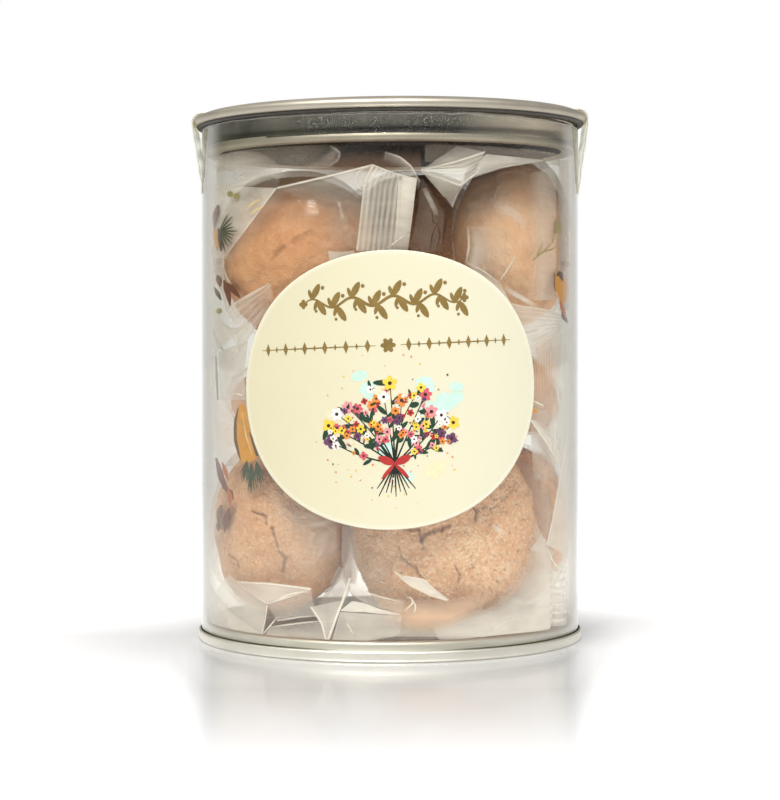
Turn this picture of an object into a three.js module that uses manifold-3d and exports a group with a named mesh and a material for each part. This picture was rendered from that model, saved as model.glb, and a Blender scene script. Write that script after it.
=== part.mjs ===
// Clear can of film-wrapped amaretti cookies, in millimetres, +Z up.
// The origin is the centre of the flat ring that the can stands on. -Y is the labelled front.
import * as THREE from "three";
import { mergeVertices } from "three/addons/utils/BufferGeometryUtils.js";
import Module from "manifold-3d";

const wasm = await Module();
wasm.setup();

// Clear wall
const SIDES = 56;
const WALL_RADIUS = 49.5;
const WALL_THICKNESS = 0.45;
const WALL_BOTTOM = 1.5;
const WALL_TOP = 133.5;
const WALL_INSIDE = WALL_RADIUS - WALL_THICKNESS;
const GAP = 0.3;

// Tinplate lid, pressed in and slightly crooked
const LID_TOP = 137.3;
const LID_RIM_RADIUS = 51.8;
const LID_RIM_HEIGHT = 2.9;
const LID_RIM_ROUND = 1.1;
const LID_SHOULDER_FROM = 68;
const LID_BEAD_RADIUS = WALL_INSIDE - GAP - 0.05;
const LID_PLUG_RADIUS = LID_BEAD_RADIUS - 0.35;
const LID_PLUG_BOTTOM = 126.4;
const LID_BEAD_HEIGHT = 2.4;
const LID_BEAD_ROUND = 1.2;
const LID_PANEL_TOP = 127.7;
const LID_PANEL_EDGE = 45.4;
const LID_SHEET = 0.7;
const LID_RING = [34, 38];
const LID_TILT = 0.0094;

// Rings pressed down into both end panels
const RING_DEPTH = 0.6;
const RING_SLOPE = 1;

// Tinplate base, seamed round the foot of the wall
const SEAM_RADIUS = 50.3;
const SEAM_HEIGHT = 2.7;
const SEAM_ROUND = 0.6;
const SEAM_TOP_ROUND = 0.3;
const BASE_PANEL_TOP = 4.9;
const BASE_SHEET = 0.5;
const BASE_CHUCK_RADIUS = WALL_INSIDE - GAP;
const BASE_CHUCK_ROUND = 0.7;
const BASE_RING = [38, 42];

// Oval paper label on the front
const LABEL_HALF_WIDTH = 40;
const LABEL_HALF_HEIGHT = 33.85;
const LABEL_Z = 66.1;
const LABEL_TURN = THREE.MathUtils.degToRad(2.4);
const LABEL_COLUMNS = 26;
const LABEL_INNER = WALL_RADIUS + 0.15;
const LABEL_OUTER = WALL_RADIUS + 0.35;

// Clear tape seals over the rim
const TAPE_HALF_WIDTH = 9.5;
const TAPE_THICKNESS = 0.25;
const TAPE_REACH = 52.5;
const TAPE_FOOT = 116;
const TAPE_BEND = 119;
const TAPE_STEPS = 6;

// Room for the wrapped cookies
const ROOM_RADIUS = 48.4;
const ROOM_FLOOR = BASE_PANEL_TOP + GAP;
const ROOM_CEILING = 125.5;
const WRAP_CLEARANCE = 0.2;
const WRAP_MERIDIANS = 24;
const WRAP_RINGS = 12;
const WRAP_SQUARENESS = 2.6;
const PLEATS = 8;
const PLEAT_DEPTH = 0.05;
const FIN_RADIUS = 48;
const FIN_THICKNESS = 0.8;
const FIN_SINK = 5.5;
const FIN_CUT_OUTSIDE = 49;

// Each wrapped cookie: its middle, where its domed face looks (bearing from the front towards +X,
// and upward tilt, in degrees), how the pack's length turns from level, and its half sizes.
// Its fins are flat crimped ends on the wall: bearing, height, half length, half width and turn.
const WRAPS = [
  {
    at: [14.1, -28.2, 29.7],
    bearing: 18,
    tilt: 3,
    turn: 0,
    half: [30, 24.5, 15.5],
    fins: [[58, 15.5, 5.5, 8.5, 8]],
  },
  {
    at: [-28.5, -18.2, 29.9],
    bearing: -56,
    tilt: 2,
    turn: 8,
    half: [28, 23, 15],
    fins: [[-94, 31, 5.5, 10, 176]],
  },
  {
    at: [-23.5, -24, 98.7],
    bearing: -43,
    tilt: 4,
    turn: -4,
    half: [28, 22.5, 15],
    fins: [
      [0, 109.4, 6, 10.5, -8],
      [-44.5, 85.8, 5.5, 7, 205],
    ],
  },
  {
    at: [31.3, -13.8, 102.8],
    bearing: 63,
    tilt: 0,
    turn: -78,
    half: [25, 23, 14.5],
    fins: [
      [50.6, 82.3, 5.5, 7.5, -82],
      [23.6, 114.8, 10, 6, 165],
    ],
  },
  { at: [7.4, 27.5, 102.5], bearing: 167, tilt: 0, turn: 5, half: [27, 22.5, 14.5], fins: [] },
  { at: [-29, 17, 101], bearing: -122, tilt: 0, turn: 0, half: [26, 22, 14.5], fins: [] },
  { at: [23, -7, 66], bearing: 75, tilt: 74, turn: 20, half: [25, 22.5, 13.5], fins: [] },
  { at: [-20, 5, 64.5], bearing: -80, tilt: 76, turn: 60, half: [26, 22.5, 13.5], fins: [] },
  {
    at: [33, 4.5, 29],
    bearing: 95,
    tilt: 0,
    turn: 0,
    half: [26, 22.5, 14.5],
    fins: [[135, 30, 5.5, 11, 0]],
  },
  {
    at: [9, 32, 28.5],
    bearing: 165,
    tilt: 0,
    turn: 0,
    half: [26, 22.5, 14.5],
    fins: [[199, 27, 5.5, 11, 0]],
  },
  { at: [-26.5, 20.5, 28.5], bearing: -126, tilt: 0, turn: 0, half: [26, 22.5, 14.5], fins: [] },
];

// Helpers that go between three.js geometry and solids
function solidOf(geometry) {
  const bare = geometry.clone();
  bare.deleteAttribute("normal");
  bare.deleteAttribute("uv");
  const merged = mergeVertices(bare, 1e-3);
  return new wasm.Manifold(
    new wasm.Mesh({
      numProp: 3,
      vertProperties: merged.attributes.position.array,
      triVerts: new Uint32Array(merged.index.array),
    }),
  );
}

function geometryOf(solid) {
  const mesh = solid.getMesh();
  const geometry = new THREE.BufferGeometry();
  geometry.setAttribute("position", new THREE.BufferAttribute(mesh.vertProperties, 3));
  geometry.setIndex(new THREE.BufferAttribute(mesh.triVerts, 1));
  geometry.computeVertexNormals();
  return geometry;
}

function part(name, geometry, color, roughness, metalness) {
  const material = new THREE.MeshStandardMaterial({ color, roughness, metalness });
  const mesh = new THREE.Mesh(geometry, material);
  mesh.name = name;
  return mesh;
}

// Profiles are lists of [radius, height], turned about the can's axis
function turned(profile) {
  const points = profile.map(([radius, height]) => new THREE.Vector2(radius, height));
  return new THREE.LatheGeometry(points, SIDES).rotateX(Math.PI / 2);
}

function arc(radius, height, round, from, to, steps) {
  return Array.from({ length: steps + 1 }, (_, i) => {
    const angle = THREE.MathUtils.degToRad(from + ((to - from) * i) / steps);
    return [radius + round * Math.cos(angle), height + round * Math.sin(angle)];
  });
}

function onCan(radius, bearing, z) {
  return new THREE.Vector3(radius * Math.sin(bearing), -radius * Math.cos(bearing), z);
}

// A closed skin from rows of points: each row is a closed loop, and the two end loops are capped
function skinned(rows) {
  const count = rows[0].length;
  const positions = rows.flat().flatMap((point) => point.toArray());
  const faces = [];
  for (let row = 0; row + 1 < rows.length; row++)
    for (let i = 0; i < count; i++) {
      const next = (i + 1) % count;
      const [a, b] = [row * count + i, row * count + next];
      const [c, d] = [a + count, b + count];
      faces.push(a, d, b, a, c, d);
    }
  const last = (rows.length - 1) * count;
  for (let i = 0; i + 1 < count / 2; i++) {
    const [near, far] = [i, count - 1 - i];
    faces.push(near, near + 1, far, near + 1, far - 1, far);
    faces.push(last + near, last + far, last + near + 1);
    faces.push(last + near + 1, last + far, last + far - 1);
  }
  const geometry = new THREE.BufferGeometry();
  geometry.setAttribute("position", new THREE.Float32BufferAttribute(positions, 3));
  geometry.setIndex(faces);
  geometry.computeVertexNormals();
  return geometry;
}

// A ring pressed down into a flat panel, from its inside outwards
function pressedRing([inside, outside], height) {
  return [
    [inside, height],
    [inside + RING_SLOPE, height - RING_DEPTH],
    [outside - RING_SLOPE, height - RING_DEPTH],
    [outside, height],
  ];
}

function clearWall() {
  const profile = [
    [WALL_INSIDE, WALL_BOTTOM],
    [WALL_RADIUS, WALL_BOTTOM],
    [WALL_RADIUS, WALL_TOP],
    [WALL_INSIDE, WALL_TOP],
    [WALL_INSIDE, WALL_BOTTOM],
  ];
  return part("can_wall", turned(profile), 0xe8e8e4, 0.08, 0);
}

// The lid turns about its own rim, so its profile is drawn from the rim's top downwards.
// The rim's shoulder slopes from its round outer edge up to its top, which lies further in.
function lid() {
  const rimBottom = LID_TOP - LID_RIM_HEIGHT;
  const rimSide = LID_RIM_RADIUS - LID_RIM_ROUND;
  const recess = LID_PLUG_RADIUS - LID_SHEET;
  const beadMiddle = LID_BEAD_RADIUS - LID_BEAD_ROUND;
  const panelUnder = LID_PANEL_TOP - LID_SHEET;
  const beadTop = LID_PLUG_BOTTOM + LID_BEAD_HEIGHT;
  const profile = [
    [0, panelUnder],
    ...pressedRing(LID_RING, panelUnder),
    [LID_PANEL_EDGE, panelUnder],
    ...arc(beadMiddle, LID_PLUG_BOTTOM + LID_BEAD_ROUND, LID_BEAD_ROUND, -90, 35, 3),
    [LID_PLUG_RADIUS, beadTop],
    [LID_PLUG_RADIUS, rimBottom - 0.5],
    [LID_PLUG_RADIUS + 0.8, rimBottom],
    ...arc(rimSide, rimBottom + LID_RIM_ROUND, LID_RIM_ROUND, -90, 0, 3),
    ...arc(rimSide, rimBottom + LID_RIM_ROUND, LID_RIM_ROUND, 30, LID_SHOULDER_FROM, 2),
    ...arc(recess + LID_RIM_ROUND, LID_TOP - LID_RIM_ROUND, LID_RIM_ROUND, LID_SHOULDER_FROM, 180, 4),
    [recess - 0.2, LID_PANEL_TOP + 1],
    [recess - 1.2, LID_PANEL_TOP],
    ...pressedRing(LID_RING, LID_PANEL_TOP).reverse(),
    [0, LID_PANEL_TOP],
  ].map(([radius, height]) => [radius, height - LID_TOP]);
  const pivot = new THREE.Group();
  pivot.position.z = LID_TOP;
  pivot.rotation.y = -LID_TILT;
  pivot.add(part("lid", turned(profile), 0xc9c4b8, 0.3, 1));
  return pivot;
}

function baseEnd() {
  const panelUnder = BASE_PANEL_TOP - BASE_SHEET;
  const chuckInside = BASE_CHUCK_RADIUS - BASE_SHEET;
  const chuckMiddle = BASE_CHUCK_RADIUS - BASE_CHUCK_ROUND;
  const slotOutside = WALL_RADIUS + GAP;
  const profile = [
    [0, panelUnder],
    ...pressedRing(BASE_RING, panelUnder),
    [chuckInside - 1.2, panelUnder],
    [chuckInside - 0.2, panelUnder - 1],
    [chuckInside, 0.5],
    [chuckInside + 0.4, 0],
    ...arc(SEAM_RADIUS - SEAM_ROUND, SEAM_ROUND, SEAM_ROUND, -90, 0, 2),
    ...arc(SEAM_RADIUS - SEAM_TOP_ROUND, SEAM_HEIGHT - SEAM_TOP_ROUND, SEAM_TOP_ROUND, 0, 90, 1),
    [slotOutside, SEAM_HEIGHT - 0.2],
    [slotOutside, WALL_BOTTOM - GAP],
    [BASE_CHUCK_RADIUS, WALL_BOTTOM - GAP],
    ...arc(chuckMiddle, BASE_PANEL_TOP - BASE_CHUCK_ROUND, BASE_CHUCK_ROUND, 0, 90, 2),
    ...pressedRing(BASE_RING, BASE_PANEL_TOP).reverse(),
    [0, BASE_PANEL_TOP],
  ];
  return part("base_end", turned(profile), 0xd6d0c2, 0.3, 1);
}

// The label is an ellipse, turned a little and bent round the wall
function label() {
  const [a, b] = [LABEL_HALF_WIDTH, LABEL_HALF_HEIGHT];
  const [cos, sin] = [Math.cos(LABEL_TURN), Math.sin(LABEL_TURN)];
  const reach = Math.hypot(a * cos, b * sin);
  const rows = Array.from({ length: LABEL_COLUMNS + 1 }, (_, column) => {
    const share = -Math.cos((Math.PI * (column + 0.35)) / (LABEL_COLUMNS + 0.7));
    const along = share * reach;
    const middle = LABEL_Z + (along * (a * a - b * b) * sin * cos) / reach ** 2;
    const half = ((a * b) / reach) * Math.sqrt(1 - share * share);
    const bearing = along / WALL_RADIUS;
    return [
      onCan(LABEL_INNER, bearing, middle - half),
      onCan(LABEL_OUTER, bearing, middle - half),
      onCan(LABEL_OUTER, bearing, middle + half),
      onCan(LABEL_INNER, bearing, middle + half),
    ];
  });
  return part("label", skinned(rows), 0xf2edd0, 0.55, 0);
}

// A seal's path is a list of [radius, height] from the wall, over the rim, into the lid's recess
function tapeSeal(name, bearing, path) {
  const back = path.map(([radius, height], i) => {
    const [before, after] = [path[Math.max(i - 1, 0)], path[Math.min(i + 1, path.length - 1)]];
    const run = new THREE.Vector2(after[0] - before[0], after[1] - before[1]).normalize();
    return [radius - run.y * TAPE_THICKNESS, height + run.x * TAPE_THICKNESS];
  });
  const loop = [...path, ...back.reverse()];
  const spread = TAPE_HALF_WIDTH / TAPE_REACH;
  const rows = Array.from({ length: TAPE_STEPS + 1 }, (_, step) => {
    const turn = bearing + spread * ((2 * step) / TAPE_STEPS - 1);
    return loop.map(([radius, height]) => onCan(radius, turn, height));
  });
  return part(name, skinned(rows), 0xdfe0c8, 0.2, 0);
}

function tapes() {
  const drop = LID_RIM_RADIUS * LID_TILT;
  const wallTouch = WALL_RADIUS + 0.4;
  const left = LID_TOP - drop;
  const right = LID_TOP + drop;
  return [
    tapeSeal("tape_left", -Math.PI / 2, [
      [wallTouch, TAPE_FOOT],
      [wallTouch + 0.1, TAPE_BEND],
      [TAPE_REACH, left - 2.2],
      [TAPE_REACH - 0.3, left - 0.4],
      [51.2, left + 0.45],
      [50, left + 0.55],
      [48.2, left + 0.55],
      [46.9, left - 0.6],
      [46.5, left - 6],
    ]),
    tapeSeal("tape_right", Math.PI / 2, [
      [wallTouch, TAPE_FOOT],
      [wallTouch + 0.4, TAPE_BEND],
      [TAPE_REACH, right - 3.4],
      [TAPE_REACH - 0.1, right - 0.9],
      [51.5, right + 0.4],
      [49.8, right + 0.8],
      [47.2, right + 0.2],
      [46.5, right - 6],
    ]),
  ];
}

// A wrap's own axes: depth looks out of the cookie's dome, length runs to the crimped ends
function axesOf(wrap) {
  const bearing = THREE.MathUtils.degToRad(wrap.bearing);
  const tilt = THREE.MathUtils.degToRad(wrap.tilt);
  const turn = THREE.MathUtils.degToRad(wrap.turn);
  const depth = onCan(Math.cos(tilt), bearing, Math.sin(tilt));
  const level = new THREE.Vector3(Math.cos(bearing), Math.sin(bearing), 0);
  const up = level.clone().cross(depth).negate();
  const length = level.multiplyScalar(Math.cos(turn)).addScaledVector(up, Math.sin(turn));
  return { length, width: length.clone().cross(depth), depth };
}

function reachOf(wrap, direction) {
  const { length, width, depth } = wrap.axes;
  const [a, b, c] = wrap.half;
  return Math.hypot(
    a * length.dot(direction),
    b * width.dot(direction),
    c * depth.dot(direction),
  );
}

// Directions spread evenly over a ball
function ballOfDirections(count) {
  const golden = Math.PI * (3 - Math.sqrt(5));
  return Array.from({ length: count }, (_, i) => {
    const z = 1 - (2 * i + 1) / count;
    const flat = Math.sqrt(1 - z * z);
    return new THREE.Vector3(flat * Math.cos(golden * i), flat * Math.sin(golden * i), z);
  });
}

// The plane between two wraps that keeps them furthest apart, or presses them together least
function planeBetween(one, other, directions) {
  const apart = other.middle.clone().sub(one.middle);
  let best = { room: -Infinity };
  for (const normal of directions) {
    const reach = reachOf(one, normal);
    const room = apart.dot(normal) - reach - reachOf(other, normal);
    if (room > best.room) best = { room, normal, reach };
  }
  return { normal: best.normal, height: best.normal.dot(one.middle) + best.reach + best.room / 2 };
}

function cellsOf(wraps) {
  const directions = ballOfDirections(1200);
  const cells = wraps.map(() => []);
  for (let i = 0; i < wraps.length; i++)
    for (let j = i + 1; j < wraps.length; j++) {
      const { normal, height } = planeBetween(wraps[i], wraps[j], directions);
      cells[i].push({ normal, height: height - WRAP_CLEARANCE / 2 });
      cells[j].push({ normal: normal.clone().negate(), height: -height - WRAP_CLEARANCE / 2 });
    }
  return cells;
}

// How far a wrap can reach from its middle before it meets the can or a neighbour
function roomAlong(middle, direction, cell) {
  const square = direction.x ** 2 + direction.y ** 2;
  const cross = middle.x * direction.x + middle.y * direction.y;
  const spare = ROOM_RADIUS ** 2 - middle.x ** 2 - middle.y ** 2;
  let room = (Math.sqrt(cross ** 2 + square * spare) - cross) / Math.max(square, 1e-9);
  const rise = direction.z > 0 ? ROOM_CEILING - middle.z : middle.z - ROOM_FLOOR;
  room = Math.min(room, rise / Math.max(Math.abs(direction.z), 1e-9));
  for (const { normal, height } of cell) {
    const slope = normal.dot(direction);
    if (slope > 1e-6) room = Math.min(room, (height - normal.dot(middle)) / slope);
  }
  return room;
}

// A film pillow with pleated ends, pressed flat where it meets the can or a neighbour
function pillow(wrap, cell) {
  const { length, width, depth } = wrap.axes;
  const [a, b, c] = wrap.half;
  const geometry = new THREE.SphereGeometry(1, WRAP_MERIDIANS, WRAP_RINGS);
  const points = geometry.attributes.position;
  const own = new THREE.Vector3();
  const direction = new THREE.Vector3();
  for (let i = 0; i < points.count; i++) {
    own.fromBufferAttribute(points, i);
    const square = Math.abs(own.y / a) ** WRAP_SQUARENESS + Math.abs(own.x / b) ** WRAP_SQUARENESS;
    const bare = 1 / Math.sqrt(square ** (2 / WRAP_SQUARENESS) + (own.z / c) ** 2);
    const pleat = PLEAT_DEPTH * own.y ** 4 * Math.cos(PLEATS * Math.atan2(own.z, own.x));
    direction.set(0, 0, 0).addScaledVector(width, own.x);
    direction.addScaledVector(length, own.y).addScaledVector(depth, own.z);
    const reach = Math.min(bare * (1 + pleat), roomAlong(wrap.middle, direction, cell));
    points.setXYZ(i, ...direction.multiplyScalar(reach).add(wrap.middle).toArray());
  }
  return solidOf(geometry);
}

// A crimped end lies on the wall, and its root sinks in to meet its pillow.
// The cut that it makes in a neighbour is grown by a gap and runs out to the wall.
function fin([bearing, z, halfLength, halfWidth, turn], grown = 0) {
  const size = [2 * (halfLength + grown), 2 * (halfWidth + grown)];
  const geometry = new THREE.BoxGeometry(...size, 1, 3, 3, 1);
  const points = geometry.attributes.position;
  const middle = THREE.MathUtils.degToRad(bearing);
  const [cos, sin] = [
    Math.cos(THREE.MathUtils.degToRad(turn)),
    Math.sin(THREE.MathUtils.degToRad(turn)),
  ];
  const [inside, outside] = grown
    ? [FIN_RADIUS - FIN_THICKNESS / 2 - grown, FIN_CUT_OUTSIDE]
    : [FIN_RADIUS - FIN_THICKNESS / 2, FIN_RADIUS + FIN_THICKNESS / 2];
  for (let i = 0; i < points.count; i++) {
    const [along, across] = [points.getX(i), points.getY(i)];
    const sink = FIN_SINK * ((halfLength - along) / (2 * halfLength)) ** 2;
    const outer = points.getZ(i) > 0;
    const radius = outer && grown ? outside : (outer ? outside : inside) - sink;
    const turned = middle + (along * cos - across * sin) / FIN_RADIUS;
    const at = onCan(radius, turned, z + along * sin + across * cos);
    points.setXYZ(i, at.x, at.y, at.z);
  }
  return solidOf(geometry);
}

function wrappedCookies() {
  const wraps = WRAPS.map((wrap) => ({
    ...wrap,
    axes: axesOf(wrap),
    middle: new THREE.Vector3(...wrap.at),
  }));
  const cells = cellsOf(wraps);
  return wraps.map((wrap, i) => {
    let solid = pillow(wrap, cells[i]);
    for (const other of wraps)
      if (other !== wrap)
        for (const row of other.fins) solid = solid.subtract(fin(row, GAP));
    for (const row of wrap.fins) solid = solid.add(fin(row));
    return part(`wrapped_cookie_${i + 1}`, geometryOf(solid), 0xd9ae86, 0.45, 0);
  });
}

const can = new THREE.Group();
can.add(clearWall(), lid(), baseEnd(), label(), ...tapes(), ...wrappedCookies());

export default can;
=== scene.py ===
# Looks of a clear can of film-wrapped amaretti cookies: clear wall, tinplate ends, paper label,
# tape seals, cookies and their film wraps. Lengths are millimetres until a mesh is made.
import math

import bmesh
import bpy
import numpy as np
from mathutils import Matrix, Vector
from mathutils.bvhtree import BVHTree

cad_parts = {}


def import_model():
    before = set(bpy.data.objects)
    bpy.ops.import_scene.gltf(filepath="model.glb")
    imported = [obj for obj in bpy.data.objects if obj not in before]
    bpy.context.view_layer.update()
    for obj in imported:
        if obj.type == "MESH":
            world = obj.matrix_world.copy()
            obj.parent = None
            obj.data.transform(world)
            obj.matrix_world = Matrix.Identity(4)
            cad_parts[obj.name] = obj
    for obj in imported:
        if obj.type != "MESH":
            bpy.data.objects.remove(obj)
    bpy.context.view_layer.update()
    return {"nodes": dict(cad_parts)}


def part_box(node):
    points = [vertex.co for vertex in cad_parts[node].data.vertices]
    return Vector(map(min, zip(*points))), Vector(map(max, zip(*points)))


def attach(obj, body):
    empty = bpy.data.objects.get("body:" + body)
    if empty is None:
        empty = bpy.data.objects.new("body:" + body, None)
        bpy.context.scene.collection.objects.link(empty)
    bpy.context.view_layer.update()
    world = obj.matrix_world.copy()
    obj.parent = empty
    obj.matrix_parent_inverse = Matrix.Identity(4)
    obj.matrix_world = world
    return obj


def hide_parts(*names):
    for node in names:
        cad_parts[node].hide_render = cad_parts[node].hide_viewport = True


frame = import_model()

MM = 0.001

# The photograph's camera looks level, and its frame is shifted so that the horizon is above its middle
IMAGE_LONG_SIDE = 800
MIDDLE_COLUMN = 390.0
MIDDLE_ROW = 400.0
HORIZON_ROW = 334.8
FOCAL_PIXELS = 2226.0
EYE = (0.0, -588.0, 79.4)

# The can
WALL_LOW, WALL_HIGH = (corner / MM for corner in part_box("can_wall"))
WALL_RADIUS = WALL_HIGH.x
WALL_INSIDE = WALL_RADIUS - 0.45
LID_TILT = 0.0094
LID_TOP = 137.3
RIM_RADIUS = 51.8
PLUG_RADIUS = 48.35
SEAM_HEIGHT = 2.7
TAPE_HALF_ANGLE = 0.18
TAPE_THICKNESS = 0.2
TAPE_ROWS, TAPE_COLUMNS = 60, 25

# The pressed rings in the lid and in the base, from inside to outside, and how deep they are
LID_RING = (34, 38)
LID_OUTER_RING = (39.5, 42.5)
BASE_RING = (38, 42)
RING_DEPTH = 0.6

# The wall's upper edge: bearings and widths of a soft bump and of a nick in it
BUMP_BEARING, BUMP_WIDTH = 0.33, 0.16
NICK_BEARING, NICK_WIDTH = 0.307, 0.02
CUT_EDGE = 0.2

# The oval label
LABEL_LOW, LABEL_HIGH = (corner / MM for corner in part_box("label"))
LABEL_MIDDLE = (LABEL_LOW.z + LABEL_HIGH.z) / 2
LABEL_FACE = WALL_RADIUS + 0.35
LABEL_THICKNESS = 0.2
LABEL_HALF_WIDTH = 40.0
LABEL_HALF_HEIGHT = 33.85
LABEL_TURN = math.radians(2.4)

# Places of the print on the label, from its middle
TITLE_FROM, TITLE_TO, TITLE_HEIGHT = -20.9, 19.4, 21.6
RULE_FROM, RULE_TO, RULE_HEIGHT = -33.7, 32.1, 10.8
POSY_MIDDLE = -9.4
POSY_SIZE = 1.14
WASHES, FLOWER_STEMS, FOOT_STEMS, FLOWERS, SPECKS = 15, 15, 9, 130, 70

# Distances from the can's axis at which film and its print lie, and heights that film keeps to
PRINT_RADIUS = 48.75
CRIMP_RADIUS = 48.55
FLAP_RADIUS = 48.3
DEEP_RADIUS = 46.6
BACK_RADIUS = 45.7
FILM_FLOOR, FILM_CEILING = 5.2, 125.9

# How finely a turned piece is cut all round
SEGMENTS = 192
WALL_SEGMENTS = 256

# Brightness of the room where nothing shines, for what it lights and for what it is mirrored in, and
# light that the table gives off: to the eye beside the can, and to the can
WORLD_DIM = 0.05
MIRRORED_DIM = 0.07
FLOOR_GLOW = 0.16
FLOOR_BOUNCE = 0.75

# The table, in metres. It mirrors the can within a wedge in front of it, which would narrow to
# nothing at the apex
TABLE_HALF = 4.0
MIRROR_APEX = -0.588

# The lamps: place, aim and size in metres, and power
KEY_LIGHT = ((-0.15, -0.52, 1.05), (0, 0, 0.06), (0.6, 0.5), 17.3)
KEY_COLOR = (1.0, 0.99, 0.97)
FILL_LIGHT = ((0.8, -0.4, 0.28), (0, 0, 0.07), (0.5, 0.6), 2.6)


# Arrays and noise

def unit(vectors):
    return vectors / np.maximum(np.linalg.norm(vectors, axis=-1, keepdims=True), 1e-12)


def smooth(x, low, high):
    t = np.clip((x - low) / (high - low), 0.0, 1.0)
    return t * t * (3.0 - 2.0 * t)


def around(count):
    """Angles that share a full turn evenly."""
    return np.arange(count) * math.tau / count


def heading(angles):
    """Flat steps, one unit long, in the given directions."""
    return np.stack([np.cos(angles), np.sin(angles)], axis=1)


def sideways(steps):
    """Flat steps turned by a quarter."""
    return np.stack([-steps[..., 1], steps[..., 0]], axis=-1)


def scatter(cells, seed):
    """A number from 0 to 1 for each whole-numbered cell."""
    c = cells.astype(np.int64)
    h = c[..., 0] * 374761393 + c[..., 1] * 668265263 + c[..., 2] * 1440662683 + seed * 974634777
    h = h & 0xFFFFFFFF
    h = ((h ^ (h >> 13)) * 1274126177) & 0xFFFFFFFF
    h = ((h ^ (h >> 16)) * 2246822519) & 0xFFFFFFFF
    return ((h ^ (h >> 15)) & 0xFFFFFF) / float(0x1000000)


def noise(points, seed):
    """Smooth noise from -1 to 1, with features one unit across."""
    low = np.floor(points)
    part = points - low
    part = part * part * (3.0 - 2.0 * part)
    total = np.zeros(len(points))
    for corner in np.ndindex(2, 2, 2):
        weight = np.prod(np.where(corner, part, 1.0 - part), axis=1)
        total += weight * scatter(low + np.array(corner), seed)
    return total * 2.0 - 1.0


def fractal(points, octaves, seed):
    total = np.zeros(len(points))
    for octave in range(octaves):
        total += noise(points * 2.0**octave, seed + 17 * octave) / 2.0**octave
    return total


def cells_of(points, seed):
    """Distances to the nearest and the second nearest scattered point."""
    low = np.floor(points)
    near = np.full(len(points), 9.0)
    second = np.full(len(points), 9.0)
    for corner in np.ndindex(3, 3, 3):
        cell = low + np.array(corner) - 1.0
        spot = cell + np.stack([scatter(cell, seed + k) for k in range(3)], axis=1)
        gap = np.linalg.norm(spot - points, axis=1)
        second = np.minimum(second, np.maximum(gap, near))
        near = np.minimum(near, gap)
    return near, second


# Photograph and can coordinates

def on_can(radius, bearing, z):
    """A point of the can: bearing 0 is the front, and grows towards +X."""
    return np.stack([radius * np.sin(bearing), -radius * np.cos(bearing), z + 0.0 * bearing], axis=-1)


def seen_on_wall(pixels, radius):
    """Bearings and heights at which pixels of the photograph meet a cylinder about the can's axis."""
    pixels = np.asarray(pixels, float)
    right = (pixels[:, 0] - MIDDLE_COLUMN) / FOCAL_PIXELS
    up = (HORIZON_ROW - pixels[:, 1]) / FOCAL_PIXELS
    steep = right**2 + 1.0
    inside = EYE[1] ** 2 - steep * (EYE[1] ** 2 - radius**2)
    along = (-EYE[1] - np.sqrt(np.maximum(inside, 0.0))) / steep
    return np.arctan2(right * along, -EYE[1] - along), EYE[2] + up * along


def in_photo(points):
    """Pixels of the photograph at which points in millimetres are seen."""
    away = points[:, 1] - EYE[1]
    column = MIDDLE_COLUMN + FOCAL_PIXELS * points[:, 0] / away
    return np.stack([column, HORIZON_ROW - FOCAL_PIXELS * (points[:, 2] - EYE[2]) / away], axis=1)


def moved(path, right, down):
    return [(x + right, y + down) for x, y in path]


def resampled(path, count):
    path = np.array(path, float)
    marks = np.concatenate([[0], np.cumsum(np.linalg.norm(np.diff(path, axis=0), axis=1))])
    fine = np.linspace(0, marks[-1], count)
    return np.stack([np.interp(fine, marks, path[:, 0]), np.interp(fine, marks, path[:, 1])], axis=1)


def distance_to_path(points, path):
    """Distance of flat points to a broken line."""
    best = np.full(len(points), 1e9)
    for start, end in zip(path[:-1], path[1:]):
        start, end = np.array(start, float), np.array(end, float)
        run = end - start
        share = np.clip(((points - start) @ run) / max(run @ run, 1e-9), 0.0, 1.0)
        best = np.minimum(best, np.linalg.norm(points - start - share[:, None] * run, axis=1))
    return best


# Meshes

def piece(name, points, faces, materials, shade_smooth=True):
    """A mesh object from points in millimetres, which rides on the can's one body."""
    mesh = bpy.data.meshes.new(name)
    mesh.from_pydata((np.asarray(points, float) * MM).tolist(), [], [list(map(int, f)) for f in faces])
    mesh.validate()
    made = bpy.data.objects.new(name, mesh)
    bpy.context.scene.collection.objects.link(made)
    for material in materials if isinstance(materials, list) else [materials]:
        mesh.materials.append(material)
    mesh.polygons.foreach_set("use_smooth", [shade_smooth] * len(mesh.polygons))
    mesh.update()
    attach(made, "root")
    return made


def paint(made, name, values):
    """A number at each point of a piece, for its material to read."""
    layer = made.data.attributes.new(name, "FLOAT", "POINT")
    layer.data.foreach_set("value", np.asarray(values, np.float32))


def grid_faces(rows, columns, wrap_columns=False, wrap_rows=False):
    faces = []
    for row in range(rows if wrap_rows else rows - 1):
        near, far = row * columns, (row + 1) % rows * columns
        for column in range(columns if wrap_columns else columns - 1):
            beside = (column + 1) % columns
            faces.append((near + column, near + beside, far + beside, far + column))
    return faces


def arc(radius, height, round_radius, start, end, steps):
    angles = np.radians(np.linspace(start, end, steps + 1))
    return [(radius + round_radius * math.cos(a), height + round_radius * math.sin(a)) for a in angles]


def pressed_ring(inside, outside, height, depth):
    """A soft ring pressed down into a flat panel, from its inside outwards."""
    middle, half = (inside + outside) / 2, (outside - inside) / 2
    steps = np.linspace(inside, outside, 9)
    return [(r, height - depth / 2 * (math.cos((r - middle) / half * math.pi) + 1)) for r in steps]


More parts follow.
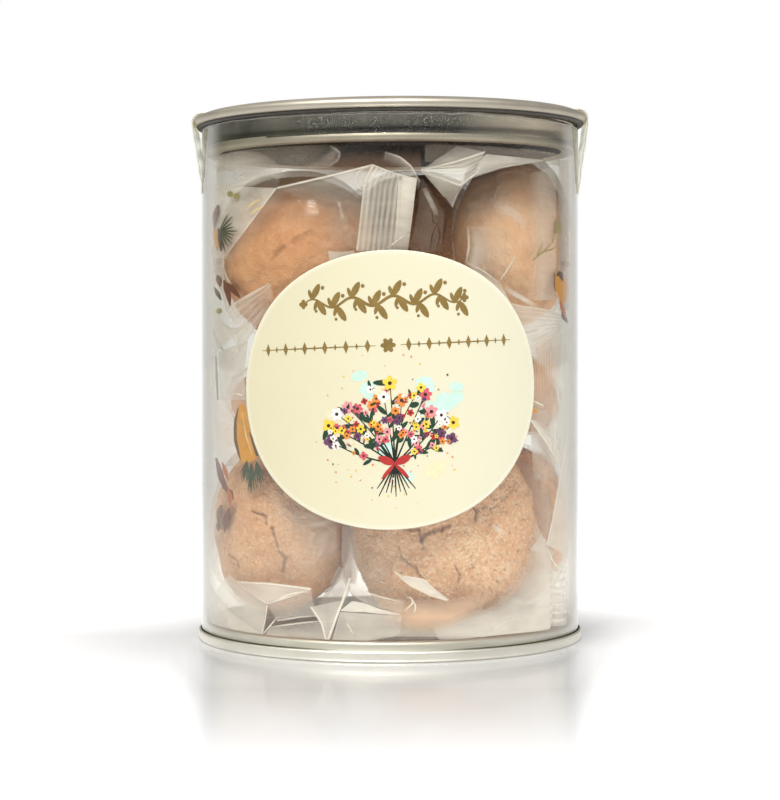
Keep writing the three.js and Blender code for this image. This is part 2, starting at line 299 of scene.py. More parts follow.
def turned(name, profile, materials, closed, segments=SEGMENTS, tilt=None):
    """A profile of (radius, height) turned about the can's axis. An open one ends on the axis."""
    profile = np.array(profile, float)
    wide, high = profile.T
    points = np.concatenate([on_can(wide, bearing + 0.0 * wide, high) for bearing in around(segments)])
    faces = [f[::-1] for f in grid_faces(segments, len(profile), closed, True)]
    if tilt:
        angle, height = tilt
        x, z = points[:, 0].copy(), points[:, 2] - height
        points[:, 0] = x * math.cos(angle) - z * math.sin(angle)
        points[:, 2] = x * math.sin(angle) + z * math.cos(angle) + height
    made = piece(name, points, faces, materials)
    merge_points(made)
    return made


def merge_points(made):
    """Points that coincide become one, and all faces then look outwards."""
    mesh = bmesh.new()
    mesh.from_mesh(made.data)
    bmesh.ops.remove_doubles(mesh, verts=mesh.verts, dist=1e-6)
    bmesh.ops.recalc_face_normals(mesh, faces=mesh.faces)
    mesh.to_mesh(made.data)
    mesh.free()
    made.data.polygons.foreach_set("use_smooth", [True] * len(made.data.polygons))


def cube_ball(cuts):
    """Unit directions and square faces, spread evenly over a ball."""
    steps = np.tan(np.linspace(-math.pi / 4, math.pi / 4, cuts + 1))
    u, v = np.meshgrid(steps, steps, indexing="ij")
    flat = np.stack([u.ravel(), v.ravel(), np.ones(u.size)], axis=1)
    points, faces = [], []
    square = np.array(grid_faces(cuts + 1, cuts + 1))
    for axis in range(3):
        for side in (1.0, -1.0):
            order = square if side > 0 else square[:, ::-1]
            faces.append(order + sum(len(p) for p in points))
            points.append(np.roll(flat, axis, axis=1) * side)
    points = np.concatenate(points)
    _, first, same = np.unique(np.round(points, 6), axis=0, return_index=True, return_inverse=True)
    faces = same.reshape(-1)[np.concatenate(faces)]
    return unit(points[first]), faces


# Materials

WHITE = (1.0, 1.0, 1.0, 1.0)


def linear(red, green, blue):
    """A colour as seen on screen, from 0 to 255, as the light values that shaders take."""
    shares = [channel / 255.0 for channel in (red, green, blue)]
    return tuple(s / 12.92 if s <= 0.04045 else ((s + 0.055) / 1.055) ** 2.4 for s in shares) + (1.0,)


class Recipe:
    """The nodes of a material, or of the world, under construction."""

    def __init__(self, name, made=None, kind="ShaderNodeOutputMaterial"):
        self.made = made or bpy.data.materials.new(name)
        self.made.use_nodes = True
        self.tree = self.made.node_tree
        self.tree.nodes.clear()
        self.output = self.add(kind)

    def add(self, kind, inputs=None, **settings):
        node = self.tree.nodes.new(kind)
        for key, value in settings.items():
            setattr(node, key, value)
        for key, value in (inputs or {}).items():
            self.put(node, key, value)
        return node

    def put(self, node, key, value):
        socket = node.inputs[key]
        if isinstance(value, bpy.types.NodeSocket):
            self.tree.links.new(value, socket)
        else:
            socket.default_value = value

    def finish(self, shader):
        self.tree.links.new(shader, self.output.inputs["Surface"])
        return self.made

    def skin_share(self, straight, normal=None):
        """How much a clear skin mirrors: little when met straight, everything when grazed."""
        node = self.add("ShaderNodeLayerWeight", {"Blend": 0.5})
        if normal:
            self.put(node, "Normal", normal)
        steep = self.math("POWER", node.outputs["Facing"], 5.0)
        return self.math("MULTIPLY_ADD", steep, 1.0 - straight, straight)

    def coordinates(self):
        return self.add("ShaderNodeTexCoord").outputs["Object"]

    def attribute(self, name):
        return self.add("ShaderNodeAttribute", attribute_name=name).outputs["Fac"]

    def math(self, operation, a, b=0.0, c=0.0, clamp=False):
        node = self.add("ShaderNodeMath", {0: a, 1: b, 2: c}, operation=operation, use_clamp=clamp)
        return node.outputs[0]

    def mix(self, share, first, second):
        node = self.add("ShaderNodeMix", data_type="RGBA")
        self.put(node, "Factor", share)
        self.put(node, 6, first)
        self.put(node, 7, second)
        return node.outputs[2]

    def ranged(self, value, low, high, to_low=0.0, to_high=1.0, **settings):
        limits = {"From Min": low, "From Max": high, "To Min": to_low, "To Max": to_high}
        return self.add("ShaderNodeMapRange", {"Value": value, **limits}, **settings).outputs[0]

    def noise(self, vector, scale, detail, roughness=0.6, distortion=0.0):
        shape = {"Scale": scale, "Detail": detail, "Roughness": roughness, "Distortion": distortion}
        return self.add("ShaderNodeTexNoise", {"Vector": vector, **shape}).outputs["Fac"]

    def stretched(self, vector, scale):
        return self.add("ShaderNodeMapping", {"Vector": vector, "Scale": scale}).outputs[0]

    def bump(self, height, strength, distance):
        node = self.add("ShaderNodeBump", {"Height": height, "Strength": strength, "Distance": distance})
        return node.outputs[0]

    def principled(self, **inputs):
        named = {key.replace("_", " "): value for key, value in inputs.items()}
        return self.add("ShaderNodeBsdfPrincipled", named).outputs[0]

    def diffuse(self, color):
        return self.add("ShaderNodeBsdfDiffuse", {"Color": color}).outputs[0]

    def clear(self, color):
        return self.add("ShaderNodeBsdfTransparent", {"Color": color}).outputs[0]

    def gloss(self, roughness, **inputs):
        inputs = {"Color": WHITE, "Roughness": roughness, **inputs}
        return self.add("ShaderNodeBsdfGlossy", inputs).outputs[0]

    def emission(self, strength):
        return self.add("ShaderNodeEmission", {"Color": WHITE, "Strength": strength}).outputs[0]

    def added(self, first, second):
        return self.add("ShaderNodeAddShader", {0: first, 1: second}).outputs[0]

    def mix_shader(self, share, first, second):
        return self.add("ShaderNodeMixShader", {0: share, 1: first, 2: second}).outputs[0]

    def split(self, vector=None):
        """The three coordinates of a place, by itself the material's own."""
        return self.add("ShaderNodeSeparateXYZ", {0: vector or self.coordinates()}).outputs


def around_axis(r):
    """The can's own distance from the axis, and height, in millimetres."""
    x, y, z = r.split()
    square = r.math("ADD", r.math("MULTIPLY", x, x), r.math("MULTIPLY", y, y))
    return r.math("MULTIPLY", r.math("SQRT", square), 1.0 / MM), r.math("MULTIPLY", z, 1.0 / MM)


def tinplate_material(name, bright, shaded, low_rough, high_rough):
    """Bright tinplate with fine turning rings and a faint grain."""
    r = Recipe(name)
    radius, height = around_axis(r)
    turning = {0: r.math("MULTIPLY", radius, 2.2), 2: r.math("MULTIPLY", height, 2.2)}
    rings = r.noise(r.add("ShaderNodeCombineXYZ", turning).outputs[0], 1.6, 3.0)
    grain = r.noise(r.coordinates(), 2600.0, 2.0)
    patches = r.noise(r.coordinates(), 60.0, 3.0, 0.55)
    rough = r.ranged(rings, 0.3, 0.7, low_rough, high_rough)
    relief = r.math("ADD", r.math("MULTIPLY", rings, 0.6), r.math("MULTIPLY", grain, 0.2))
    shader = r.principled(
        Base_Color=r.mix(r.ranged(patches, 0.35, 0.7), bright, shaded),
        Metallic=1.0,
        Roughness=r.math("ADD", rough, r.ranged(grain, 0.4, 0.8, 0.0, 0.06)),
        Normal=r.bump(relief, 0.3, 0.0001),
    )
    return r.finish(shader)


def frosted_tinplate_material():
    """The plug wall: darker metal, fine frosty speckle mostly across the front, a painted reflection at
    right.
    """
    r = Recipe("tinplate_frosted")
    speckle = r.noise(r.coordinates(), 3600.0, 2.0, 0.7)
    cloud = r.noise(r.coordinates(), 95.0, 3.0)
    across = r.split()[0]
    front = r.math("SUBTRACT", 1.0, r.ranged(r.math("ABSOLUTE", across), 0.016, 0.034))
    color = r.mix(r.ranged(cloud, 0.35, 0.65), linear(104, 102, 96), linear(66, 64, 58))
    dusty = r.math("MULTIPLY", r.ranged(speckle, 0.56, 0.68), r.ranged(cloud, 0.4, 0.6, 0.2, 1.0))
    color = r.mix(r.math("MULTIPLY", dusty, front), color, linear(232, 230, 222))
    # Painted reflection: the metal turns lighter and warmer towards the can's right side.
    color = r.mix(r.ranged(across, 0.016, 0.036, 0.0, 0.8), color, linear(206, 194, 176))
    shader = r.principled(
        Base_Color=color,
        Metallic=1.0,
        Roughness=r.ranged(speckle, 0.3, 0.7, 0.12, 0.26),
        Normal=r.bump(speckle, 0.3, 0.00005),
    )
    return r.finish(shader)


def lacquer_material():
    """The dark brown lacquer inside the lid, darkened further as painted shade under the lid."""
    r = Recipe("lid_lacquer")
    mottle = r.noise(r.stretched(r.coordinates(), (900, 120, 120)), 1.0, 3.0)
    # Painted shade: both colours are darker than the lacquer itself, for the shade under the lid.
    color = r.mix(r.ranged(mottle, 0.35, 0.7), linear(52, 38, 28), linear(30, 22, 16))
    return r.finish(r.mix_shader(0.05, r.diffuse(color), r.gloss(0.22)))


def lumpy_material(name, scale, detail, low, bright, dark, roughness, relief):
    """A dull surface with lumps, mottled between two colours."""
    r = Recipe(name)
    lumps = r.noise(r.coordinates(), scale, detail)
    color = r.mix(r.ranged(lumps, low, 0.7), bright, dark)
    return r.finish(r.principled(Base_Color=color, Roughness=roughness, Normal=r.bump(lumps, 0.4, relief)))


def compound_material():
    """Dark sealing compound in the curl of the lid, dark enough to serve as painted shade under the curl."""
    colors = linear(66, 61, 54), linear(46, 43, 36)
    return lumpy_material("sealing_compound", 500.0, 3.0, 0.35, *colors, 0.6, 0.0002)


def cut_edge_material():
    """The milky cut edge of the clear sheet."""
    colors = linear(196, 192, 184), linear(150, 147, 140)
    return lumpy_material("cut_edge", 700.0, 2.0, 0.3, *colors, 0.35, 0.0001)


def clear_wall_material():
    """Clear plastic: almost all light passes, and the rest is a sharp reflection."""
    r = Recipe("clear_wall")
    facing = r.add("ShaderNodeLayerWeight", {"Blend": 0.5}).outputs["Facing"]
    tint = r.mix(r.math("POWER", facing, 3.0), linear(253, 253, 251), linear(200, 195, 185))
    milk_share = r.math("MULTIPLY", r.math("POWER", facing, 7.0), 0.4)
    hazy = r.mix_shader(milk_share, r.clear(tint), r.diffuse(linear(222, 220, 212)))
    return r.finish(r.mix_shader(r.skin_share(0.04), hazy, r.gloss(0.035)))


def film_material(name="wrap_film", milk=linear(247, 240, 230)):
    """Clear wrapping film: milky where it stands off or is folded, soft streaks, a glossy skin, painted
    shade.
    """
    r = Recipe(name)
    streaks = r.noise(r.stretched(r.coordinates(), (90, 90, 300)), 1.0, 3.0, 0.6, 0.6)
    milk_share = r.math("MULTIPLY", r.attribute("veil"), r.ranged(streaks, 0.3, 0.7, 0.82, 1.12), clamp=True)
    # Painted shade: the milk turns brown where the 'shade' share is painted.
    white = r.mix(r.attribute("shade"), milk, linear(126, 92, 68))
    through = r.add("ShaderNodeBsdfTranslucent", {"Color": white}).outputs[0]
    milky = r.mix_shader(0.12, r.diffuse(white), through)
    body = r.mix_shader(milk_share, r.clear(linear(254, 253, 252)), milky)
    wrinkles = r.bump(streaks, 0.15, 0.0003)
    mirror = r.math("MULTIPLY", r.skin_share(0.05, wrinkles), r.attribute("skin"))
    return r.finish(r.mix_shader(mirror, body, r.gloss(0.13, Normal=wrinkles)))


def cookie_material(name, sugar, pale, tan, toasted, dark):
    """Baked almond dough: sugary grains of uneven colour, toasted patches, pits, and cracks with painted
    shade.
    """
    r = Recipe(name)
    spots = r.noise(r.coordinates(), 170.0, 4.0)
    toast = r.noise(r.coordinates(), 50.0, 3.0, 0.55)
    fine = r.noise(r.coordinates(), 2400.0, 2.0)
    pits = r.noise(r.coordinates(), 620.0, 3.0, 0.75)
    cells = r.add("ShaderNodeTexVoronoi", {"Vector": r.coordinates(), "Scale": 1650.0}).outputs
    grain = r.add("ShaderNodeSeparateColor", {0: cells["Color"]}).outputs[0]
    color = r.mix(r.ranged(spots, 0.36, 0.66), pale, tan)
    color = r.mix(r.ranged(toast, 0.42, 0.7, 0.0, 0.7), color, toasted)
    color = r.mix(r.ranged(grain, 0.62, 1.0, 0.0, 0.55 * sugar), color, linear(255, 236, 210))
    color = r.mix(r.ranged(grain, 0.42, 0.0, 0.0, 0.55 * sugar), color, toasted)
    color = r.mix(r.ranged(pits, 0.57, 0.7, 0.0, 0.7 * sugar), color, dark)
    # Painted shade: the cracks and the grooves between knobs are darkened.
    color = r.mix(r.math("MULTIPLY", r.attribute("crack_shade"), 0.75), color, dark)
    height = r.math("SUBTRACT", r.math("MULTIPLY", fine, 0.5), cells["Distance"])
    shader = r.principled(
        Base_Color=color,
        Roughness=r.ranged(grain, 0.6, 1.0, 0.8, 0.35),
        Specular_IOR_Level=0.4,
        Normal=r.bump(height, 0.3 + 0.5 * sugar, 0.0004),
    )
    return r.finish(shader)


def paper_material():
    """Smooth cream label paper, a little yellower towards its left."""
    r = Recipe("label_paper")
    across = r.split()[0]
    color = r.mix(r.ranged(across, -0.03, 0.03), linear(213, 206, 174), linear(217, 213, 188))
    fibre = r.noise(r.coordinates(), 900.0, 3.0)
    color = r.mix(r.ranged(fibre, 0.35, 0.7, 0.0, 0.06), color, linear(206, 198, 164))
    color = r.mix(r.math("MULTIPLY", r.attribute("border"), 0.6), color, linear(226, 223, 205))
    fibres = r.bump(fibre, 0.12, 0.00005)
    shader = r.principled(Base_Color=color, Roughness=0.55, Specular_IOR_Level=0.3, Normal=fibres)
    return r.finish(shader)


def ink_material(name, color, roughness=0.5, uneven=0.15):
    """A field of printed colour, slightly uneven."""
    r = Recipe(name)
    blot = r.noise(r.coordinates(), 420.0, 3.0)
    darker = tuple(c * 0.6 for c in color[:3]) + (1.0,)
    mixed = r.mix(r.ranged(blot, 0.35, 0.75, 0.0, uneven * 3), color, darker)
    return r.finish(r.principled(Base_Color=mixed, Roughness=roughness, Specular_IOR_Level=0.3))


def tape_material():
    """Clear tape, faintly yellow."""
    r = Recipe("clear_tape")
    ripples = r.noise(r.stretched(r.coordinates(), (30, 30, 200)), 1.0, 3.0, 0.5)
    milk_share = r.ranged(ripples, 0.35, 0.7, 0.12, 0.26)
    body = r.mix_shader(milk_share, r.clear(linear(246, 245, 232)), r.diffuse(linear(226, 226, 204)))
    wrinkles = r.bump(ripples, 0.3, 0.0003)
    return r.finish(r.mix_shader(r.skin_share(0.06, wrinkles), body, r.gloss(0.09, Normal=wrinkles)))


def seam_shadow_material():
    """Painted shadow in the seam's upper gap: dark olive, shown only towards the can's sides."""
    r = Recipe("seam_shadow")
    across = r.split()[0]
    share = r.ranged(r.math("ABSOLUTE", across), 0.012, 0.036, 0.0, 0.95)
    return r.finish(r.mix_shader(share, r.clear(WHITE), r.diffuse(linear(74, 70, 50))))


# The can

def clear_wall(material, cut_edge):
    """The clear sheet's tube. Its milky upper cut edge rises in a soft bump with a nick near the front."""
    edge = [WALL_HIGH.z - 1.1, WALL_HIGH.z - 0.22, WALL_HIGH.z]
    steps = [WALL_LOW.z, WALL_LOW.z + 0.4, 20, 60, 100] + edge
    outside = [(WALL_RADIUS, z) for z in steps]
    within = [(WALL_INSIDE, z) for z in reversed(steps)]
    skins = [material, cut_edge]
    made = turned("clear_wall", outside + within, skins, True, WALL_SEGMENTS)
    for polygon in made.data.polygons:
        polygon.material_index = int(polygon.center.z / MM > WALL_HIGH.z - CUT_EDGE)
    for vertex in made.data.vertices:
        x, y, z = vertex.co / MM
        bearing = math.atan2(x, -y)
        if z > WALL_HIGH.z - 0.3:
            rise = math.exp(-(((bearing - BUMP_BEARING) / BUMP_WIDTH) ** 2))
            nick = math.exp(-(((bearing - NICK_BEARING) / NICK_WIDTH) ** 2))
            drop = 0.4 - 0.32 * rise + 0.25 * nick + 0.05 * math.sin(23 * bearing + 1.0)
            vertex.co.z -= drop * MM
    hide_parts("can_wall")


def lid(metal, frosted, lacquer, compound):
    """Rolled rim, plug wall with its rounded bead, and a panel with pressed rings."""
    under, panel = 127.0, 127.7
    rim_bottom, roll, shoulder = 134.4, 1.1, 68
    recess = PLUG_RADIUS - 0.7
    plug_low, plug_high = 128.8, rim_bottom - 0.5
    profile = [(0, under)] + pressed_ring(*LID_RING, under, RING_DEPTH) + [(45.0, under)]
    profile += arc(47.5, 127.6, 1.2, -95, 40, 12)
    profile += [(PLUG_RADIUS, plug_low), (PLUG_RADIUS, plug_high), (PLUG_RADIUS + 0.9, rim_bottom)]
    profile += arc(RIM_RADIUS - roll, rim_bottom + roll, roll, -85, shoulder, 14)
    profile += arc(recess + roll, LID_TOP - roll, roll, shoulder, 180, 10)
    profile += [(recess - 0.15, panel + 1.5)] + arc(recess - 1.4, panel + 1.25, 1.25, 0, -90, 6)
    for ring in (LID_OUTER_RING, LID_RING):
        profile += pressed_ring(*ring, panel, RING_DEPTH)[::-1]
    profile += [(0, panel)]
    skins = [metal, frosted, lacquer]
    made = turned("tinplate_lid", profile, skins, False, tilt=(LID_TILT, LID_TOP))
    for polygon in made.data.polygons:
        x, y, z = polygon.center / MM
        radius = math.hypot(x, y)
        if abs(radius - PLUG_RADIUS) < 0.12 and plug_low - 0.5 < z < plug_high + 0.5:
            polygon.material_index = 1
        elif radius < 46.0 and polygon.normal.z < -0.5:
            polygon.material_index = 2
    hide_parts("lid")
    # Painted shade: the compound's dark ring also stands for the shade under the rim's curl.
    low, high = rim_bottom - 0.75, rim_bottom + 0.2
    ring = [(48.45, low), (50.5, low + 0.05), (50.9, low + 0.5), (50.6, high), (48.45, high)]
    turned("lid_compound", ring, compound, True, tilt=(LID_TILT, LID_TOP))


def base_end(metal, shadow):
    """Double seam round the wall's foot, chuck wall and a panel with a pressed ring."""
    chuck, seam, slot, sheet = 48.75, 50.3, 49.8, 0.5
    top = 4.9
    under, inner = top - sheet, chuck - sheet
    profile = [(0, under)] + pressed_ring(*BASE_RING, under, RING_DEPTH)
    profile += [(inner - 1.9, under)] + arc(inner - 1.3, under - 1.1, 1.1, 90, 0, 6)
    profile += [(inner, 0.6)] + arc(inner + 0.5, 0.5, 0.5, 180, 270, 4)
    profile += arc(seam - 0.9, 0.9, 0.9, -90, 0, 6) + [(seam - 0.05, 1.5)]
    profile += arc(seam - 0.5, SEAM_HEIGHT - 0.5, 0.5, 10, 90, 6)
    profile += [(slot, SEAM_HEIGHT - 0.5), (slot, 1.2), (chuck, 1.2), (chuck, top - 0.9)]
    profile += arc(chuck - 0.9, top - 0.9, 0.9, 0, 90, 6)[1:]
    profile += pressed_ring(*BASE_RING, top, RING_DEPTH)[::-1] + [(0, top)]
    made = turned("tinplate_base", profile, metal, False)
    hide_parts("base_end")
    # Painted shadow: a thin dark ring in the gap above the seam.
    low, high = SEAM_HEIGHT - 0.4, SEAM_HEIGHT + 0.35
    ring = [(49.56, low), (49.62, low), (49.62, high), (49.56, high)]
    turned("seam_shadow", ring, shadow, True)


def tape(name, node, bearing, path, material):
    """A clear strip bent over the rim: its path is a list of (radius, height)."""
    line = resampled(path, TAPE_ROWS)
    kernel = np.array([1, 2, 3, 2, 1]) / 9.0
    padded = np.pad(line, ((2, 2), (0, 0)), mode="edge")
    line = np.stack([np.convolve(padded[:, k], kernel, mode="valid") for k in range(2)], axis=1)
    run = unit(np.gradient(line, axis=0))
    out = -sideways(run)
    fine = np.linspace(0, 36, TAPE_ROWS)
    loops = []
    for turn in np.linspace(-TAPE_HALF_ANGLE, TAPE_HALF_ANGLE, TAPE_COLUMNS):
        wave = 0.1 * np.sin(fine * 0.9 + 14 * turn) * np.sin(fine * 0.33)
        outer = line + out * (wave - 0.15)[:, None]
        inner = outer - TAPE_THICKNESS * out
        loop = np.concatenate([outer, inner[::-1]])
        loops.append(on_can(loop[:, 0], bearing + turn + 0.0 * loop[:, 0], loop[:, 1]))
    faces = grid_faces(TAPE_COLUMNS, 2 * TAPE_ROWS, wrap_columns=True)
    last = (TAPE_COLUMNS - 1) * 2 * TAPE_ROWS
    for k in range(TAPE_ROWS - 1):
        cap = (k, k + 1, 2 * TAPE_ROWS - 2 - k, 2 * TAPE_ROWS - 1 - k)
        faces += [cap[::-1], tuple(last + i for i in cap)]
    made = piece(name, np.concatenate(loops), faces, material)
    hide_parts(node)


def tapes(material):
    foot, bend = (49.9, 116), 119
    drop = RIM_RADIUS * LID_TILT
    left, right = LID_TOP - drop, LID_TOP + drop
    over_left = [(52.5, left - 2.2), (52.3, left - 0.6), (51.3, left + 0.4), (50.2, left + 0.5)]
    over_left += [(48.2, left + 0.45), (46.9, left - 0.6), (46.5, left - 6)]
    over_right = [(52.5, right - 3.4), (52.45, right - 1.0), (51.5, right + 0.35), (49.8, right + 0.7)]
    over_right += [(47.3, right + 0.2), (46.5, right - 6)]
    tape("tape_seal_left", "tape_left", -math.pi / 2, [foot, (50.0, bend)] + over_left, material)
    tape("tape_seal_right", "tape_right", math.pi / 2, [foot, (50.3, bend)] + over_right, material)


# The label. Its own places are millimetres to the right of, and above, its middle.

class Print:
    """Flat shapes of one ink, laid on the label or on a film."""

    def __init__(self, name, height=0.02, place=None, slot="label_paper"):
        self.name = name
        self.height = height
        self.place = place or on_label
        self.slot = slot
        self.points, self.faces = [], []

    def fan(self, middle, outline, rings=1):
        """A filled shape that follows the curved surface, from its middle out to its outline."""
        middle, outline = np.array(middle, float), np.array(outline, float)
        start, count = len(self.points), len(outline)
        lift = self.height + 0.00002 * start
        flat = [middle] + [middle + (p - middle) * k / rings for k in range(1, rings + 1) for p in outline]
        self.points += [self.place(p, lift) for p in flat]
        for i in range(count):
            beside = (i + 1) % count
            self.faces.append((start, start + 1 + i, start + 1 + beside))
            for k in range(rings - 1):
                low = start + 1 + k * count
                self.faces.append((low + i, low + count + i, low + count + beside, low + beside))

    def stroke(self, path, widths):
        """A line that tapers through the given widths."""
        path = np.array(path, float)
        run = unit(np.gradient(path, axis=0))
        half = np.interp(np.linspace(0, 1, len(path)), np.linspace(0, 1, len(widths)), widths) / 2
        side = sideways(run) * half[:, None]
        start = len(self.points)
        lift = self.height + 0.00002 * start
        for left, right in zip(path + side, path - side):
            self.points += [self.place(left, lift), self.place(right, lift)]
        for i in range(start, start + 2 * len(path) - 2, 2):
            self.faces.append((i, i + 1, i + 3, i + 2))

    def leaf(self, foot, direction, length, width):
        t = np.linspace(0, math.pi, 7)
        along = (1 - np.cos(t)) / 2 * length
        across = np.sin(t) ** 1.3 * width / 2
        run = np.array([math.cos(direction), math.sin(direction)])
        side = sideways(run)
        upper = np.array(foot) + along[:, None] * run + across[:, None] * side
        lower = np.array(foot) + along[::-1, None] * run - across[::-1, None] * side
        self.fan(np.array(foot) + run * length / 2, np.concatenate([upper[:-1], lower[:-1]]))

    def blossom(self, middle, radius, petals, turn):
        angles = around(petals * 4)
        reach = radius * (0.62 + 0.38 * np.abs(np.cos(angles * petals / 2)))
        self.fan(middle, np.array(middle) + heading(angles + turn) * reach[:, None])

    def dot(self, middle, radius, sides=8):
        self.fan(middle, np.array(middle) + radius * heading(around(sides)))

    def finish(self, material):
        piece(self.name, self.points, self.faces, material, shade_smooth=False)


def on_label(place, lift):
    """A point of the paper's face, from millimetres right of and above its middle."""
    across = place[0] * math.cos(LABEL_TURN) - place[1] * math.sin(LABEL_TURN)
    up = place[0] * math.sin(LABEL_TURN) + place[1] * math.cos(LABEL_TURN)
    return on_can(LABEL_FACE + lift, np.array(across / LABEL_FACE), LABEL_MIDDLE + up)


def label(material):
    spokes = 180
    angles = around(spokes)
    steps = np.append(np.linspace(0.04, 0.965, 23), [0.98, 0.992, 1.0])
    points, border = [on_label((0, 0), 0.0)], [0.0]
    for step in steps:
        for angle in angles:
            spot = (LABEL_HALF_WIDTH * step * math.cos(angle), LABEL_HALF_HEIGHT * step * math.sin(angle))
            curl = 0.05 * smooth(np.array(step), 0.93, 1.0) * math.sin(3 * angle + 1.0)
            points.append(on_label(spot, curl))
            border.append(float(smooth(np.array(step), 0.974, 0.986)))
    count = len(points)
    thinner = 1.0 - LABEL_THICKNESS / LABEL_FACE
    points += [p * np.array([thinner, thinner, 1.0]) for p in points]
    faces = []
    rim = 1 + (len(steps) - 1) * spokes
    for i in range(spokes):
        beside = (i + 1) % spokes
        faces.append((0, 1 + i, 1 + beside))
        faces.append((count, count + 1 + beside, count + 1 + i))
        for low in range(1, rim, spokes):
            quad = (low + i, low + spokes + i, low + spokes + beside, low + beside)
            faces += [quad, tuple(count + q for q in reversed(quad))]
        faces.append((rim + i, rim + count + i, rim + count + beside, rim + beside))
    made = piece("label_oval", points, faces, material)
    paint(made, "border", border * 2)
    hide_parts("label")


def ornament():
    """A bronze vine in a row, with single leaves and berries, and a fine rule of lozenges under it."""
    ink = Print("label_ornament")
    along = np.linspace(TITLE_FROM, TITLE_TO, 121)
    phase = (along - TITLE_FROM) / (TITLE_TO - TITLE_FROM) * math.tau * 4
    stem = np.stack([along, TITLE_HEIGHT + 1.1 * np.sin(phase)], axis=1)
    ink.stroke(stem, (0.3, 0.75, 0.75, 0.3))
    for i in range(7, 116, 15):
        for spot, side in ((stem[i], 1), (stem[i + 4], -1)):
            ink.leaf(spot, side * 1.05, 4.3, 1.7)
            ink.leaf(spot, side * 1.9, 2.6, 1.0)
        ink.dot(stem[i] + np.array([2.9, 2.7]), 0.5)
        ink.dot(stem[i] + np.array([1.0, -2.9]), 0.4)
    for end in (stem[0], stem[-1]):
        ink.blossom(end, 1.2, 4, 0.0)
    for start, stop in ((RULE_FROM, -3.0), (3.0, RULE_TO)):
        line = np.linspace(start, stop, 40)
        ink.stroke(np.stack([line, RULE_HEIGHT + 0 * line], axis=1), (0.12, 0.34, 0.12))
        for k, x in enumerate(np.linspace(start + 2.0, stop - 2.0, 11)):
            tall = 1.6 if k % 2 == 0 else 0.8
            wide = tall * 0.42
            ends = np.array([(-wide, 0), (0, tall), (wide, 0), (0, -tall)])
            ink.fan((x, RULE_HEIGHT), ends + (x, RULE_HEIGHT))
    ink.blossom((0, RULE_HEIGHT), 1.9, 6, 0.0)
    ink.finish(ink_material("ink_bronze", linear(136, 112, 60), 0.42, 0.2))


def in_posy(right, up):
    """A place of the posy, from its own middle."""
    return np.array([0.4 + right * POSY_SIZE, POSY_MIDDLE + up * POSY_SIZE])


